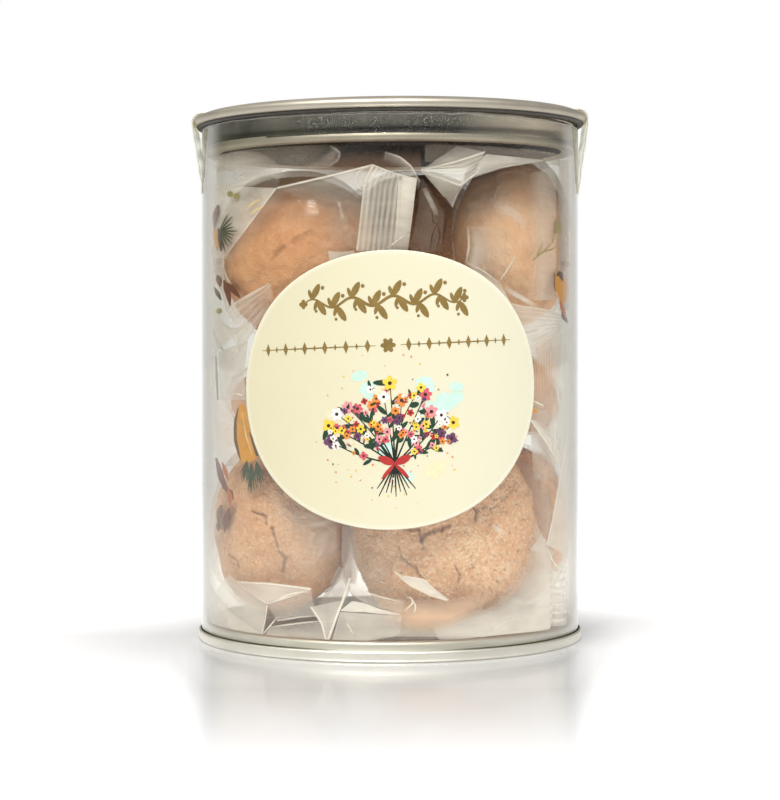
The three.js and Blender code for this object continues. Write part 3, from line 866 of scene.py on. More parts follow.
def posy():
    """A generic bunch of small garden flowers over pale washes of colour."""
    draw = np.random.default_rng(41)
    washes = [Print("wash_aqua", 0.008), Print("wash_peach", 0.010)]
    for k in range(WASHES):
        middle = in_posy(draw.uniform(-14, 15), draw.uniform(-12, 12))
        size, count = draw.uniform(1.4, 3.9), 22
        angles = around(count)
        reach = 0.75 + 0.25 * np.sin(angles * 3 + k) * np.sin(angles * 5 + 2 * k)
        reach += draw.uniform(0, 0.16, count)
        outline = middle + heading(angles) * (1.0, 0.8) * size * reach[:, None]
        washes[k % 3 == 2].fan(middle, outline, 3)
    stems, leaves = Print("posy_stems", 0.022), Print("posy_leaves", 0.030)
    inks = {
        "rose": linear(206, 92, 104), "pink": linear(226, 150, 152), "red": linear(178, 52, 48),
        "orange": linear(226, 138, 62), "yellow": linear(240, 206, 72), "plum": linear(104, 66, 100),
        "white": linear(250, 246, 236),
    }
    flowers = {key: Print("posy_" + key, 0.045 + 0.003 * i) for i, key in enumerate(inks)}
    names = list(inks)
    hearts = Print("posy_hearts", 0.070)
    tie = in_posy(0.0, -7.5)
    heads = []
    for k in range(FLOWER_STEMS):
        angle = math.radians(18 + 144 * (k + draw.uniform(-0.3, 0.3)) / (FLOWER_STEMS - 1))
        reach = draw.uniform(12.0, 15.5) * POSY_SIZE
        head = tie + np.array([math.cos(angle) * 1.05, math.sin(angle) * 1.12]) * reach
        t = np.linspace(0, 1, 16)[:, None]
        side = sideways(head - tie) / reach
        path = tie + (head - tie) * t + side * draw.uniform(-1.6, 1.6) * np.sin(math.pi * t)
        stems.stroke(path, (0.45, 0.3, 0.2))
        heads.append(head)
        for place in (5, 8, 11):
            lean = math.atan2(*(head - tie)[::-1]) + draw.choice([-1, 1]) * draw.uniform(0.5, 1.0)
            leaves.leaf(path[place], lean, draw.uniform(2.0, 4.0), draw.uniform(0.8, 1.5))
    for k in range(FOOT_STEMS):
        angle = math.radians(-90 + 9.5 * (k - FOOT_STEMS // 2))
        foot = tie + np.array([math.cos(angle), math.sin(angle)]) * draw.uniform(6.5, 8.8)
        stems.stroke(tie + (foot - tie) * np.linspace(0, 1, 10)[:, None], (0.35, 0.4, 0.18))
    for side in (-1, 1):
        flowers["red"].leaf(tie, math.pi / 2 - side * 1.15, 4.4, 2.0)
        flowers["red"].leaf(tie, -math.pi / 2 + side * 0.75, 4.9, 1.0)
    for k in range(FLOWERS):
        if k < len(heads):
            middle, size = heads[k], draw.uniform(1.2, 1.9)
        else:
            angle, share = draw.uniform(0.25, math.pi - 0.25), draw.uniform(0.35, 1.12) * POSY_SIZE
            middle = tie + np.array([math.cos(angle) * 13.5, math.sin(angle) * 15.0]) * share
            size = draw.uniform(0.4, 1.2)
        kind = names[int(draw.integers(len(names)))]
        flowers[kind].blossom(middle, size, int(draw.choice([4, 5, 6])), draw.uniform(0, 2))
        hearts.dot(middle, size * 0.28, 6)
        if k % 2:
            leaves.leaf(middle, draw.uniform(0, math.tau), size * 2.2, size * 0.75)
    for k in range(SPECKS):
        angle, reach = draw.uniform(0, math.tau), draw.uniform(8, 17)
        flowers[names[k % len(names)]].dot(
            in_posy(math.cos(angle) * reach, math.sin(angle) * reach), draw.uniform(0.1, 0.3), 6
        )
    washes[0].finish(ink_material("wash_aqua", linear(196, 228, 212), 0.6, 0.12))
    washes[1].finish(ink_material("wash_peach", linear(244, 216, 178), 0.6, 0.12))
    stems.finish(ink_material("ink_black_green", linear(26, 32, 28)))
    leaves.finish(ink_material("ink_leaf", linear(36, 62, 44)))
    for key, color in inks.items():
        flowers[key].finish(ink_material("ink_" + key, color))
    hearts.finish(ink_material("ink_heart", linear(60, 38, 30)))


# Wrapped cookies. Each row is a pack: its middle, the bearing and upward tilt its dome looks in,
# how its length turns from level, its half sizes, and the cookie's radius and dome height.
PACKS = {
    "wrapped_cookie_1": ((14.1, -28.2, 29.7), 18, 3, 0, (30, 24.5, 15.5), 24.0, 15.0),
    "wrapped_cookie_2": ((-28.5, -18.2, 29.9), -56, 2, 8, (28, 23, 15), 21.6, 14.4),
    "wrapped_cookie_3": ((-23.5, -24, 98.7), -43, 4, -4, (28, 22.5, 15), 21.4, 14.4),
    "wrapped_cookie_4": ((31.3, -13.8, 102.8), 63, 0, -78, (25, 23, 14.5), 21.5, 13.8),
    "wrapped_cookie_5": ((7.4, 27.5, 102.5), 167, 0, 5, (27, 22.5, 14.5), 21.3, 13.8),
    "wrapped_cookie_6": ((-29, 17, 101), -122, 0, 0, (26, 22, 14.5), 21.0, 13.6),
    "wrapped_cookie_7": ((23, -7, 66), 75, 74, 20, (25, 22.5, 13.5), 21.6, 12.6),
    "wrapped_cookie_8": ((-20, 5, 64.5), -80, 76, 60, (26, 22.5, 13.5), 21.4, 12.8),
    "wrapped_cookie_9": ((33, 4.5, 29), 95, 0, 0, (26, 22.5, 14.5), 21.5, 13.8),
    "wrapped_cookie_10": ((9, 32, 28.5), 165, 0, 0, (26, 22.5, 14.5), 21.5, 13.8),
    "wrapped_cookie_11": ((-26.5, 20.5, 28.5), -126, 0, 0, (26, 22.5, 14.5), 21.4, 13.8),
}

# The packs that show well from the front
SHOWN = ("wrapped_cookie_1", "wrapped_cookie_2", "wrapped_cookie_3", "wrapped_cookie_4")

# Where the room of a pack has a sudden step, how steeply its surface may run over it, and over how
# many rows of points. The usual reach from its middle stands in where a ray meets no wall
STEEPEST = 4.0
EASED_ROWS = 2
USUAL_REACH = 20.0

# Gaps that the dough and its film keep from the wall of their solid
DOUGH_GAP = 0.9
FILM_GAP = 0.12

# Crust, in millimetres: how wide its lumps, knobs, grains and cracked areas are, and how deep its
# grooves and cracks go. A share of the relief is kept, and sugar from 0 to 1 makes it coarser
LUMP_SIZE, FINE_LUMP_SIZE = 8.0, 2.2
KNOB_SIZE, GRAIN_SIZE, FINE_GRAIN_SIZE = 6.5, 1.15, 0.6
CRACKED_AREA_SIZE = 12.0
GROOVE_DEPTH, CRACK_DEPTH = 0.4, 0.9
RELIEF_KEPT = 0.8
USUAL_SUGAR = 0.5

# Film: flat facets and pleats of a pillow, and how square its outline is
FACETS = 70
PLEATS = 17
SQUARENESS = 2.6

# How finely the dough and the film are cut, in packs that are shown and in hidden ones
DOUGH_CUTS = {True: 92, False: 36}
FILM_CUTS = {True: 72, False: 30}

# The film of both: how high its pleats and how deep its creases are, how milky it is, and how much
# its skin mirrors
PLEAT_HEIGHT = {True: 0.2, False: 0.5}
CREASE_DEPTH = {True: 0.12, False: 0.25}
MILKINESS = {True: 1.0, False: 0.7}
SKIN_SHINE = {True: 0.45, False: 0.8}

# How coarse the sugar on each cookie's crust is
SUGAR = {"wrapped_cookie_1": 1.0, "wrapped_cookie_2": 0.6, "wrapped_cookie_3": 0.2, "wrapped_cookie_4": 0.25}

# Pixels of the photograph along which the shown cookies are cracked, and how wide each crack is
CRACKS = {
    "wrapped_cookie_1": [
        ([(420, 538), (430, 532), (440, 529), (449, 525)], 2.6),
        ([(398, 548), (400, 558), (408, 565), (416, 570), (420, 577)], 1.7),
        ([(408, 530), (418, 529), (420, 540), (423, 549)], 1.8),
        ([(470, 503), (478, 510), (476, 520)], 1.5),
        ([(454, 565), (460, 575), (458, 584)], 1.3),
    ],
    "wrapped_cookie_2": [
        ([(252, 511), (260, 514), (266, 516), (266, 524)], 1.6),
        ([(272, 528), (276, 540), (279, 552), (286, 558), (283, 573)], 2.0),
        ([(322, 540), (328, 548), (338, 552)], 1.7),
        ([(228, 556), (236, 561), (238, 568)], 1.8),
    ],
    "wrapped_cookie_3": [
        ([(272, 261), (276, 253), (284, 247)], 3.6),
        ([(294, 241), (303, 236), (311, 231)], 4.4),
    ],
}


def own_axes(bearing, tilt, turn):
    """Rows: along the pack's length, across it, and out of the cookie's dome."""
    b, t, s = (math.radians(v) for v in (bearing, tilt, turn))
    out = np.array([math.sin(b) * math.cos(t), -math.cos(b) * math.cos(t), math.sin(t)])
    level = np.array([math.cos(b), math.sin(b), 0.0])
    length = level * math.cos(s) + np.cross(out, level) * math.sin(s)
    return np.stack([length, np.cross(length, out), out])


def aimed_ball(node, cuts):
    """A pack's number and middle, and a ball's directions, the same in the pack's own axes, and faces."""
    middle, bearing, tilt, turn = PACKS[node][:4]
    directions, faces = cube_ball(cuts)
    own = directions @ own_axes(bearing, tilt, turn).T
    return int(node.rsplit("_", 1)[1]), np.array(middle, float), directions, own, faces


def room_from(node, middle, directions, faces):
    """How far each direction runs from the pack's middle to the wall of its solid, with any sudden
    step, as at a crimped end, eased into a slope."""
    mesh = frame["nodes"][node].data
    points = [v.co / MM for v in mesh.vertices]
    tree = BVHTree.FromPolygons(points, [tuple(p.vertices) for p in mesh.polygons])
    start = Vector(middle)
    reach = np.empty(len(directions))
    for i, direction in enumerate(directions.tolist()):
        hit = tree.ray_cast(start, Vector(direction))
        reach[i] = hit[3] if hit[3] is not None else USUAL_REACH
    edges = np.stack([faces, np.roll(faces, 1, axis=1)], axis=2).reshape(-1, 2)
    edges = np.concatenate([edges, edges[:, ::-1]])
    apart = USUAL_REACH * np.linalg.norm(directions[edges[:, 0]] - directions[edges[:, 1]], axis=1)
    rise = STEEPEST * apart
    for _ in range(EASED_ROWS):
        np.minimum.at(reach, edges[:, 0], reach[edges[:, 1]] + rise)
    return reach


def dough_reach(node, own):
    """Reach of a cookie's rounded form in its own directions: the dome is deeper than the back."""
    radius, dome = PACKS[node][5:]
    flat = np.abs(own[:, 0] / radius) ** 2.2 + np.abs(own[:, 1] / (radius * 0.98)) ** 2.2
    flat = flat ** (1.0 / 2.2)
    depth = np.where(own[:, 2] > 0, own[:, 2] / dome, -own[:, 2] / (dome * 0.72))
    power = np.where(own[:, 2] > 0, 2.0, 3.0)
    return (flat**power + depth**power) ** (-1.0 / power)


def cookie(node, cuts, material):
    number, middle, directions, own, faces = aimed_ball(node, cuts)
    seed = 31 * number
    reach = dough_reach(node, own) * (1.0 + 0.035 * fractal(directions * 2.4, 3, seed))
    reach = np.minimum(reach, room_from(node, middle, directions, faces) - DOUGH_GAP)
    points = middle + directions * reach[:, None]
    knobs, knob_edge = cells_of(points / KNOB_SIZE + 0.35 * noise(points / 2.5, seed)[:, None], seed + 5)
    grains = cells_of(points / GRAIN_SIZE, seed + 7)[0]
    relief = 0.5 * fractal(points / LUMP_SIZE, 3, seed + 1)
    relief += 0.22 * fractal(points / FINE_LUMP_SIZE, 2, seed + 2)
    sugar = SUGAR.get(node, USUAL_SUGAR)
    relief += sugar * (0.5 * (0.5 - grains) + 0.2 * noise(points / FINE_GRAIN_SIZE, seed + 3))
    opening = smooth(fractal(points / CRACKED_AREA_SIZE, 2, seed + 9), 0.2, 0.6)
    opening = opening * smooth(np.array(sugar), 0.2, 0.5)
    groove = (1.0 - smooth(knob_edge - knobs, 0.01, 0.08)) * opening
    relief -= GROOVE_DEPTH * groove
    # Painted shade: grooves and cracks are marked for the crust to darken.
    crack_shade = 0.4 * groove
    seen = in_photo(points)
    wobble = 0.5 * noise(points / 0.9, seed + 4) + 0.45 * noise(points / 2.5, seed + 6)
    for path, width in CRACKS.get(node, []):
        apart = distance_to_path(seen, path) + width * wobble
        near = (1.0 - smooth(apart, 0.1 * width, 1.2 * width)) * smooth(own[:, 2], 0.0, 0.2)
        sharp = min(1.0, (2.6 / width) ** 2)
        relief -= CRACK_DEPTH * sharp * near
        crack_shade = np.maximum(crack_shade, sharp * near)
    points = points + directions * relief[:, None] * RELIEF_KEPT
    made = piece(node.replace("wrapped_", "amaretti_"), points, faces, material)
    paint(made, "crack_shade", np.clip(crack_shade, 0, 1))


def pack_film(node, cuts, material):
    """The film pillow round a cookie: flat facets between creases, pleats towards both ends, painted shade
    on top.
    """
    number, middle, directions, own, faces = aimed_ball(node, cuts)
    half = PACKS[node][4]
    shown = node in SHOWN
    seed = 57 * number
    square = np.abs(own[:, 0] / half[0]) ** SQUARENESS + np.abs(own[:, 1] / half[1]) ** SQUARENESS
    reach = 1.0 / np.sqrt(square ** (2 / SQUARENESS) + (own[:, 2] / half[2]) ** 2)
    draw = np.random.default_rng(seed)
    normals = unit(draw.normal(size=(FACETS, 3)) * np.array([1.0, 1.0, 1.5]))
    heights = np.linalg.norm(normals * np.array(half), axis=1) * draw.uniform(0.9, 1.0, FACETS)
    facing = own @ normals.T
    planes = np.where(facing > 0.05, heights / np.maximum(facing, 0.05), 1e3)
    reach = np.minimum(reach, planes.min(axis=1))
    around = np.arctan2(own[:, 2], own[:, 1])
    ends = smooth(np.abs(own[:, 0]), 0.62, 0.98)
    pleats = np.cos(PLEATS * around + 1.2 * noise(directions * 3.0, seed))
    reach += ends * PLEAT_HEIGHT[shown] * pleats * reach / half[0]
    reach += 0.1 * fractal(directions * 9.0, 2, seed)
    bare = dough_reach(node, own)
    room = room_from(node, middle, directions, faces) - FILM_GAP
    reach = np.minimum(np.maximum(reach, bare * 1.035 + 0.6), room)
    near, second = cells_of(own * np.array([1.5, 1.5, 1.0]) * 1.3, seed + 2)
    crease = 1.0 - smooth(second - near, 0.0, 0.035)
    points = middle + directions * (reach - CREASE_DEPTH[shown] * crease)[:, None]
    made = piece(node.replace("wrapped_cookie", "film_wrap"), points, faces, material)
    gap = smooth(reach - bare, 1.0, 6.0)
    veil = 0.03 + 0.28 * gap + 0.06 * ends + 0.15 * crease * gap
    # Painted shade: towards the top, under the lid, the film turns brown and milkier.
    shade = smooth(points[:, 2], 104.0, 116.0)
    veil = veil + 0.4 * smooth(-points[:, 2], -17.0, -7.0) + 0.32 * shade
    paint(made, "veil", np.clip(veil * MILKINESS[shown], 0, 1))
    paint(made, "shade", shade)
    paint(made, "skin", np.full(len(points), SKIN_SHINE[shown]))
    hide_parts(node)


# Folds of film and its print. Their outlines are pixels of the photograph, laid on cylinders close
# to the wall.

class Folds:
    """Folded flaps, crimped fins and crease lines of film, which lie along the inside of the wall; with
    painted highlights and painted shade.
    """

    def __init__(self, name):
        self.name = name
        self.points, self.faces, self.veils, self.shades = [], [], [], []
        self.count = 0

    def flap(
        self, side_a, side_b, veil, along=(1.0,), radius=FLAP_RADIUS, ridges=0, contrast=0.3, shade=0.0
    ):
        """A strip between two sides. Its veil runs through the given values from side a to side b,
        and is scaled by the other values along its run."""
        runs = [np.linalg.norm(np.diff(np.array(side, float), axis=0), axis=1) for side in (side_a, side_b)]
        rows = int(np.clip(max(run.sum() for run in runs) / 2.5, 6, 60))
        a, b = resampled(side_a, rows), resampled(side_b, rows)
        width = np.linalg.norm(a - b, axis=1).max()
        columns = 8 * ridges + 1 if ridges else int(np.clip(width / 2.5, 5, 60))
        across = np.tile(np.linspace(0, 1, columns), rows)
        run = np.repeat(np.linspace(0, 1, rows), columns)
        pixels = np.repeat(a, columns, axis=0) * (1 - across[:, None])
        pixels += np.repeat(b, columns, axis=0) * across[:, None]
        share = np.interp(across, np.linspace(0, 1, len(veil)), veil)
        share = share * np.interp(run, np.linspace(0, 1, len(along)), along)
        wave = np.zeros(len(pixels))
        if ridges:
            drift = noise(np.stack([across * 6, run * 2.5, 0 * run], axis=1), int(width * 10))
            height = 0.7 + 0.3 * noise(np.stack([across * 5, run * 5, 0 * run], axis=1), int(width * 7))
            wave = np.cos(math.tau * ridges * across + 1.1 * drift) * height
            share = share * (1.0 - contrast + contrast * wave)
        bearing, z = seen_on_wall(pixels, radius)
        self.points.append(on_can(radius + 0.15 * wave, bearing, np.clip(z, FILM_FLOOR, FILM_CEILING)))
        self.faces += [tuple(i + self.count for i in f) for f in grid_faces(rows, columns)]
        self.veils.append(share)
        # Painted shade: a share that browns the strip's milk.
        self.shades.append(np.full(len(pixels), shade))
        self.count += len(pixels)

    def line(self, path, width, veil, along=(0.3, 1.0, 1.0, 0.3), radius=PRINT_RADIUS - 0.2):
        """A crisp crease: a narrow strip of milky film that paints a highlight along its ridge."""
        path = resampled(path, 12)
        run = unit(np.gradient(path, axis=0))
        side = sideways(run) * width * 0.75
        self.flap(path - side, path + side, (0.0, veil, veil, veil, 0.0), along, radius)

    def finish(self, material):
        made = piece(self.name, np.concatenate(self.points), self.faces, material)
        veils = np.clip(np.concatenate(self.veils), 0, 1)
        paint(made, "veil", veils)
        paint(made, "shade", np.concatenate(self.shades))
        paint(made, "skin", np.clip(veils * 2.5, 0, 0.8))


def laid_on(radius):
    """How a pixel of the photograph is placed on a cylinder about the can's axis."""

    def place(pixel, lift):
        bearing, z = seen_on_wall([pixel], radius)
        return on_can(radius + lift, bearing, np.clip(z, FILM_FLOOR, FILM_CEILING))[0]

    return place


# The upper left pack: its sheet's edges, the curl above it, the crimp beside it and its side fin
SHEET_TOP = [(277, 188), (325, 177), (373, 165)]
SHEET_TOP_END = [(283, 194), (318, 214), (360, 232)]
SHEET_SIDE = [(224, 258), (250, 223), (276, 188)]
SHEET_CORNER = [(214, 258), (214, 223), (214, 186)]
STREAK_HIGH = [(213, 157), (240, 151), (262, 153)]
STREAK_HIGH_END = [(213, 168), (245, 172), (281, 166)]
STREAK_LOW = [(214, 186), (245, 176), (282, 166)]
STREAK_LOW_END = [(216, 196), (250, 187), (290, 172)]
CURL = [(302, 164), (318, 160), (334, 146)]
CURL_END = [(318, 170), (332, 166), (340, 152)]
CURL_EDGE = [(330, 146), (340, 152), (338, 160), (326, 168)]
LOOP = [(373, 165), (357, 172), (355, 182), (361, 190), (368, 186)]
CORNER_PATCH = [(328, 251), (343, 252), (354, 250)]
CRIMP_LEFT = [(373, 165), (365, 180), (361, 215), (357, 251)]
CRIMP_MIDDLE = [(403, 176), (400, 194), (398, 212), (394, 252)]
CRIMP_RIGHT = [(417, 179), (415, 194), (413, 212), (408, 250)]
CRIMP_TOP = [(373, 165), (385, 170), (400, 175), (417, 179)]
CRIMP_RIDGE = [(400, 180), (398, 212), (396, 240)]
CRIMP_SLANT = [(384, 250), (393, 244), (400, 238), (410, 232)]
FIN_TOP = [(270, 283), (250, 294), (228, 307)]
FIN_LOW = [(274, 300), (258, 325), (240, 352)]
FIN_PATCH = [(214, 306), (214, 330), (216, 352)]
FIN_LINE = [(223, 270), (231, 285), (241, 296)]
FIN_CREASE = [(213, 330), (218, 343), (226, 354)]
LEFT_FOLD = [(219, 352), (219, 376), (220, 400)]
LEFT_FOLD_END = [(248, 340), (244, 376), (246, 400)]
LEFT_GLINT = [(231, 393), (238, 394), (245, 396)]
LEFT_TICK = [(240, 345), (236, 352), (233, 360)]
LEFT_RIM = [(211, 356), (211, 378), (211, 400)]
# Painted shade along the left fold's edge
LEFT_PAINTED_SHADE = [(216, 356), (217, 378), (218, 400)]

# Between the two upper packs: a grey fan of film, a crumpled edge behind it and dark creases of painted
# shade
FAN_TOP = [(421, 170), (440, 157), (457, 146)]
FAN_UPPER = [(421, 170), (455, 162), (485, 152)]
FAN_LOWER = [(421, 170), (440, 178), (460, 186), (476, 173)]
FAN_FOOT = [(424, 174), (438, 190), (452, 207)]
FAN_FOOT_TOP = [(421, 171), (440, 178), (460, 186)]
BACK_SHEET = [(478, 164), (486, 154), (545, 160)]
BACK_SHEET_END = [(474, 176), (500, 168), (540, 162)]
CRUMPLE = [(385, 152), (400, 157), (411, 166), (420, 182)]
BACK_FOLD = [(424, 188), (431, 202), (437, 215)]
GAP_LEFT = [(445, 196), (444, 215), (442, 244)]
GAP_RIGHT = [(453, 208), (447, 225), (443, 244)]
CREASE_LEFT = [(432, 210), (433, 222), (437, 224), (432, 235), (430, 250)]
CREASE_RIGHT = [(437, 222), (440, 235), (436, 252)]

# Film of the packs behind, dark with the reflection of the lid's underside
BACK_TOP = [(284, 168), (318, 158), (350, 152), (385, 150), (421, 151)]
BACK_LOW = [(277, 188), (318, 179), (350, 171), (385, 172), (421, 172)]
BACK_LEFT = [(214, 150), (250, 148), (284, 167)]
BACK_LEFT_LOW = [(214, 188), (246, 188), (277, 189)]
BACK_HIGH = [(214, 149), (250, 146), (300, 143), (346, 142)]
BACK_HIGH_END = [(214, 172), (250, 170), (300, 167), (346, 163)]
BACK_RIGHT_HIGH = [(425, 145), (470, 143), (520, 145), (560, 151)]
BACK_RIGHT_LOW = [(425, 162), (470, 160), (520, 163), (560, 166)]
BACK_SIDE = [(421, 178), (417, 215), (409, 252)]
BACK_SIDE_END = [(427, 184), (446, 215), (441, 252)]
BACK_RIGHT = [(558, 160), (558, 240), (559, 310)]
BACK_RIGHT_END = [(569, 160), (569, 240), (569, 310)]

# The right side: the upper pack's outline, the flap at its lower left, the crimp under it and the film
# further down
PACK_TOP = [(452, 207), (458, 192), (466, 179), (500, 168), (530, 162), (560, 160)]
RIGHT_VEIL = [(527, 175), (527, 240), (528, 300)]
RIGHT_VEIL_END = [(556, 165), (556, 240), (556, 300)]
RIGHT_BAND = [(562, 166), (562, 240), (562, 300)]
SOFT_FOLD = [(497, 205), (515, 214), (530, 228)]
FLAP_EDGE = [(468, 226), (469, 245), (466, 265)]
FLAP_END = [(520, 229), (516, 252), (502, 284)]
FLAP_LOW = [(466, 262), (482, 270), (500, 283)]
FLAP_LOW_END = [(480, 276), (492, 288), (512, 305)]
FLAP_TICK = [(515, 257), (507, 270), (499, 282)]
LOW_BAND = [(505, 288), (520, 297), (536, 306)]
RIGHT_CRIMP = [(508, 302), (520, 306), (537, 308), (550, 311), (562, 315)]
RIGHT_CRIMP_END = [(529, 350), (536, 348), (545, 342), (553, 337), (560, 332)]
RIGHT_GLINT = [(533, 401), (538, 403), (544, 406)]
MIDDLE_SHEET = [(527, 345), (530, 400), (531, 440), (534, 480)]
MIDDLE_END = [(568, 345), (568, 400), (566, 440), (558, 480)]
MIDDLE_STRIPE = [(555, 405), (555, 440), (553, 470)]
WEDGE = [(531, 420), (545, 440), (562, 468)]
WEDGE_END = [(539, 421), (553, 438), (567, 460)]
RIGHT_EDGE = [(567, 440), (560, 480), (553, 520), (547, 545)]
RIGHT_EDGE_LOW = [(547, 545), (552, 560), (559, 570)]
RIGHT_MARGIN = [(569, 440), (569, 480), (569, 520), (568, 556)]

# The lower left pack: a folded triangle below its cookie, and film drawn down to the base
TRIANGLE_TOP = [(237, 582), (272, 584), (311, 589)]
TRIANGLE_FOOT = [(237, 583), (267, 604), (310, 590)]
TRIANGLE_RIGHT = [(311, 590), (290, 594), (267, 604)]
FOOT_EDGE = [(267, 605), (265, 620), (262, 634)]
FOOT_LEFT = [(214, 592), (232, 613), (262, 635)]
FOOT_LEFT_TOP = [(229, 574), (245, 589), (266, 604)]
FOOT_MARGIN = [(206, 570), (207, 600), (212, 636)]
FOOT_SLANT = [(263, 634), (270, 626), (277, 617)]
FOOT_RISE = [(270, 627), (300, 623), (320, 621)]
FOOT_UPPER = [(277, 621), (300, 617), (316, 616)]
FOOT_END = [(264, 638), (290, 641), (326, 642)]
STAR = [(311, 607), (318, 617), (322, 624), (326, 640)]
STAR_LINE = [(350, 578), (343, 600), (338, 612), (328, 640)]
BETWEEN_LEFT = [(342, 526), (342, 560), (346, 582)]
BETWEEN_RIGHT = [(354, 526), (360, 560), (356, 584)]
BETWEEN_LOW = [(338, 566), (328, 588), (318, 606)]
BETWEEN_LOW_END = [(352, 572), (349, 594), (340, 612)]

# The lower middle and right: film over the big cookie with painted highlights, and its crimped right end
PATCH_TOP = [(341, 610), (352, 601), (364, 603), (380, 609), (400, 614)]
PATCH_LOW = [(341, 611), (352, 612), (364, 612), (380, 614), (400, 615)]
ZONE_TOP = [(340, 612), (370, 614), (402, 616)]
ZONE_LOW = [(332, 640), (366, 641), (400, 636)]
ZONE_TICK = [(345, 620), (352, 632), (356, 636)]
FOLD_OVER = [(352, 583), (365, 592), (385, 598), (404, 602)]
FOLD_SHADE = [(346, 590), (366, 604), (400, 613)]
HOOK = [(404, 612), (413, 603), (411, 598), (407, 597)]
HOOK_RIGHT = [(411, 598), (416, 606), (414, 615)]
FACET_TOP = [(394, 570), (400, 576), (415, 578), (425, 580), (432, 588), (449, 600)]
FACET_LOW = [(394, 572), (404, 582), (412, 587), (420, 591), (430, 596), (446, 601)]
LOW_SHEET = [(345, 606), (400, 612), (460, 612), (520, 600), (562, 584)]
LOW_SHEET_END = [(345, 641), (400, 642), (460, 640), (520, 636), (564, 628)]
SMALL_GLINT = [(492, 525), (499, 530), (505, 535)]
SHARD_TOP = [(530, 549), (542, 537), (547, 540)]
SHARD_LOW = [(531, 550), (540, 552), (547, 549)]
HAZE_LEFT = [(535, 520), (524, 560), (492, 604), (430, 624)]
HAZE_RIGHT = [(549, 550), (556, 590), (550, 630), (440, 641)]
END_LEFT = [(548, 560), (549, 595), (549, 626)]
END_RIGHT = [(567, 566), (567, 595), (567, 626)]
END_STROKE = [(550, 572), (558, 573), (566, 571)]
END_STROKES, END_SPACING = 7, 8
FOOT_TICK = [(488, 632), (500, 624), (514, 617)]
# Painted shadow along the base, under the big cookie
BASE_PAINTED_SHADOW = [(370, 638), (400, 640), (440, 640), (480, 637)]

# Where dough lies close behind the film and tints it
WARM_LEFT = [(214, 396), (215, 430), (218, 466)]
WARM_LEFT_END = [(246, 396), (240, 430), (242, 466)]
WARM_RIGHT = [(529, 334), (531, 375), (532, 410)]
WARM_RIGHT_END = [(562, 334), (560, 375), (556, 410)]
WARM_SIDE = [(534, 430), (540, 460), (538, 500)]
WARM_SIDE_END = [(553, 430), (556, 460), (549, 500)]
WARM_LOW = [(372, 592), (410, 600), (450, 600), (492, 586)]
WARM_LOW_END = [(384, 628), (410, 634), (450, 632), (480, 616)]


def warm_film(material):
    f = Folds("film_over_dough")
    f.flap(WARM_LEFT, WARM_LEFT_END, (0.2, 0.5, 0.5), (0.3, 1.0, 0.5), DEEP_RADIUS)
    f.flap(WARM_RIGHT, WARM_RIGHT_END, (0.3, 0.75, 0.7, 0.2), (0.5, 1.0, 0.5), DEEP_RADIUS)
    f.flap(WARM_SIDE, WARM_SIDE_END, (0.1, 0.6, 0.1), (0.2, 1.0, 0.2), DEEP_RADIUS)
    f.flap(WARM_LOW, WARM_LOW_END, (0.15, 0.6, 0.95, 0.7, 0.0), (0.2, 1.0, 1.0, 0.2), DEEP_RADIUS + 0.2)
    f.finish(material)


def folds_left(material):
    f = Folds("film_folds_left")
    # Painted shade: the shade shares brown the sheet's top, the curl and the left fold.
    f.flap(SHEET_TOP, SHEET_TOP_END, (0.7, 0.5, 0.35, 0.15, 0.0), (0.6, 0.9, 1.0), shade=0.35)
    f.line(SHEET_TOP, 1.7, 1.0, (0.8, 1.0, 1.0, 0.9))
    f.flap(SHEET_SIDE, moved(SHEET_SIDE, 14, 10), (0.22, 0.1, 0.0))
    f.line(SHEET_SIDE, 1.4, 0.9, (0.5, 0.9, 1.0))
    f.flap(SHEET_CORNER, SHEET_SIDE, (0.55, 0.75, 0.65, 0.7), (0.9, 1.0, 0.9))
    f.flap(STREAK_HIGH, STREAK_HIGH_END, (0.2, 0.5, 0.2), (0.7, 1.0, 0.3))
    f.flap(STREAK_LOW, STREAK_LOW_END, (0.15, 0.5, 0.15), (0.8, 1.0, 0.4))
    f.flap(CURL, CURL_END, (0.05, 0.3, 0.4, 0.1), shade=0.5)
    f.line(CURL_EDGE, 2.0, 0.3)
    f.line(LOOP, 1.6, 0.75)
    f.flap(CORNER_PATCH, moved(CORNER_PATCH, 2, 11), (0.6, 0.75, 0.6))
    f.flap(CRIMP_LEFT, CRIMP_MIDDLE, (1.0, 0.75, 0.75, 0.9), (1.0, 0.95, 0.8, 0.85), CRIMP_RADIUS, 7)
    f.flap(CRIMP_MIDDLE, CRIMP_RIGHT, (0.95, 1.0, 0.85), (1.0, 0.95, 0.75, 0.45), CRIMP_RADIUS)
    f.line(CRIMP_LEFT, 1.6, 0.95, (1.0, 0.8, 0.5, 0.7))
    f.line(CRIMP_TOP, 1.4, 0.9, (0.9, 0.9, 1.0))
    f.line(CRIMP_RIDGE, 3.0, 0.85, (1.0, 0.9, 0.5))
    f.line(CRIMP_SLANT, 1.6, 0.95)
    f.flap(FIN_TOP, FIN_LOW, (0.8, 0.5, 0.45, 0.3), (0.7, 1.0, 0.8), CRIMP_RADIUS, 5)
    f.line(FIN_TOP, 1.3, 0.8)
    f.line(FIN_LINE, 1.4, 0.8)
    f.flap(FIN_PATCH, FIN_LOW[::-1], (0.5, 0.62, 0.4, 0.5, 0.3), (1.0, 0.9, 0.8))
    f.flap(LEFT_FOLD, LEFT_FOLD_END, (0.45, 0.72, 0.6, 0.7), (0.7, 1.0, 0.9), shade=0.2)
    f.line(LEFT_GLINT, 1.8, 0.95)
    f.line(LEFT_TICK, 1.2, 0.8)
    f.line(LEFT_RIM, 3.0, 0.7)
    f.finish(material)


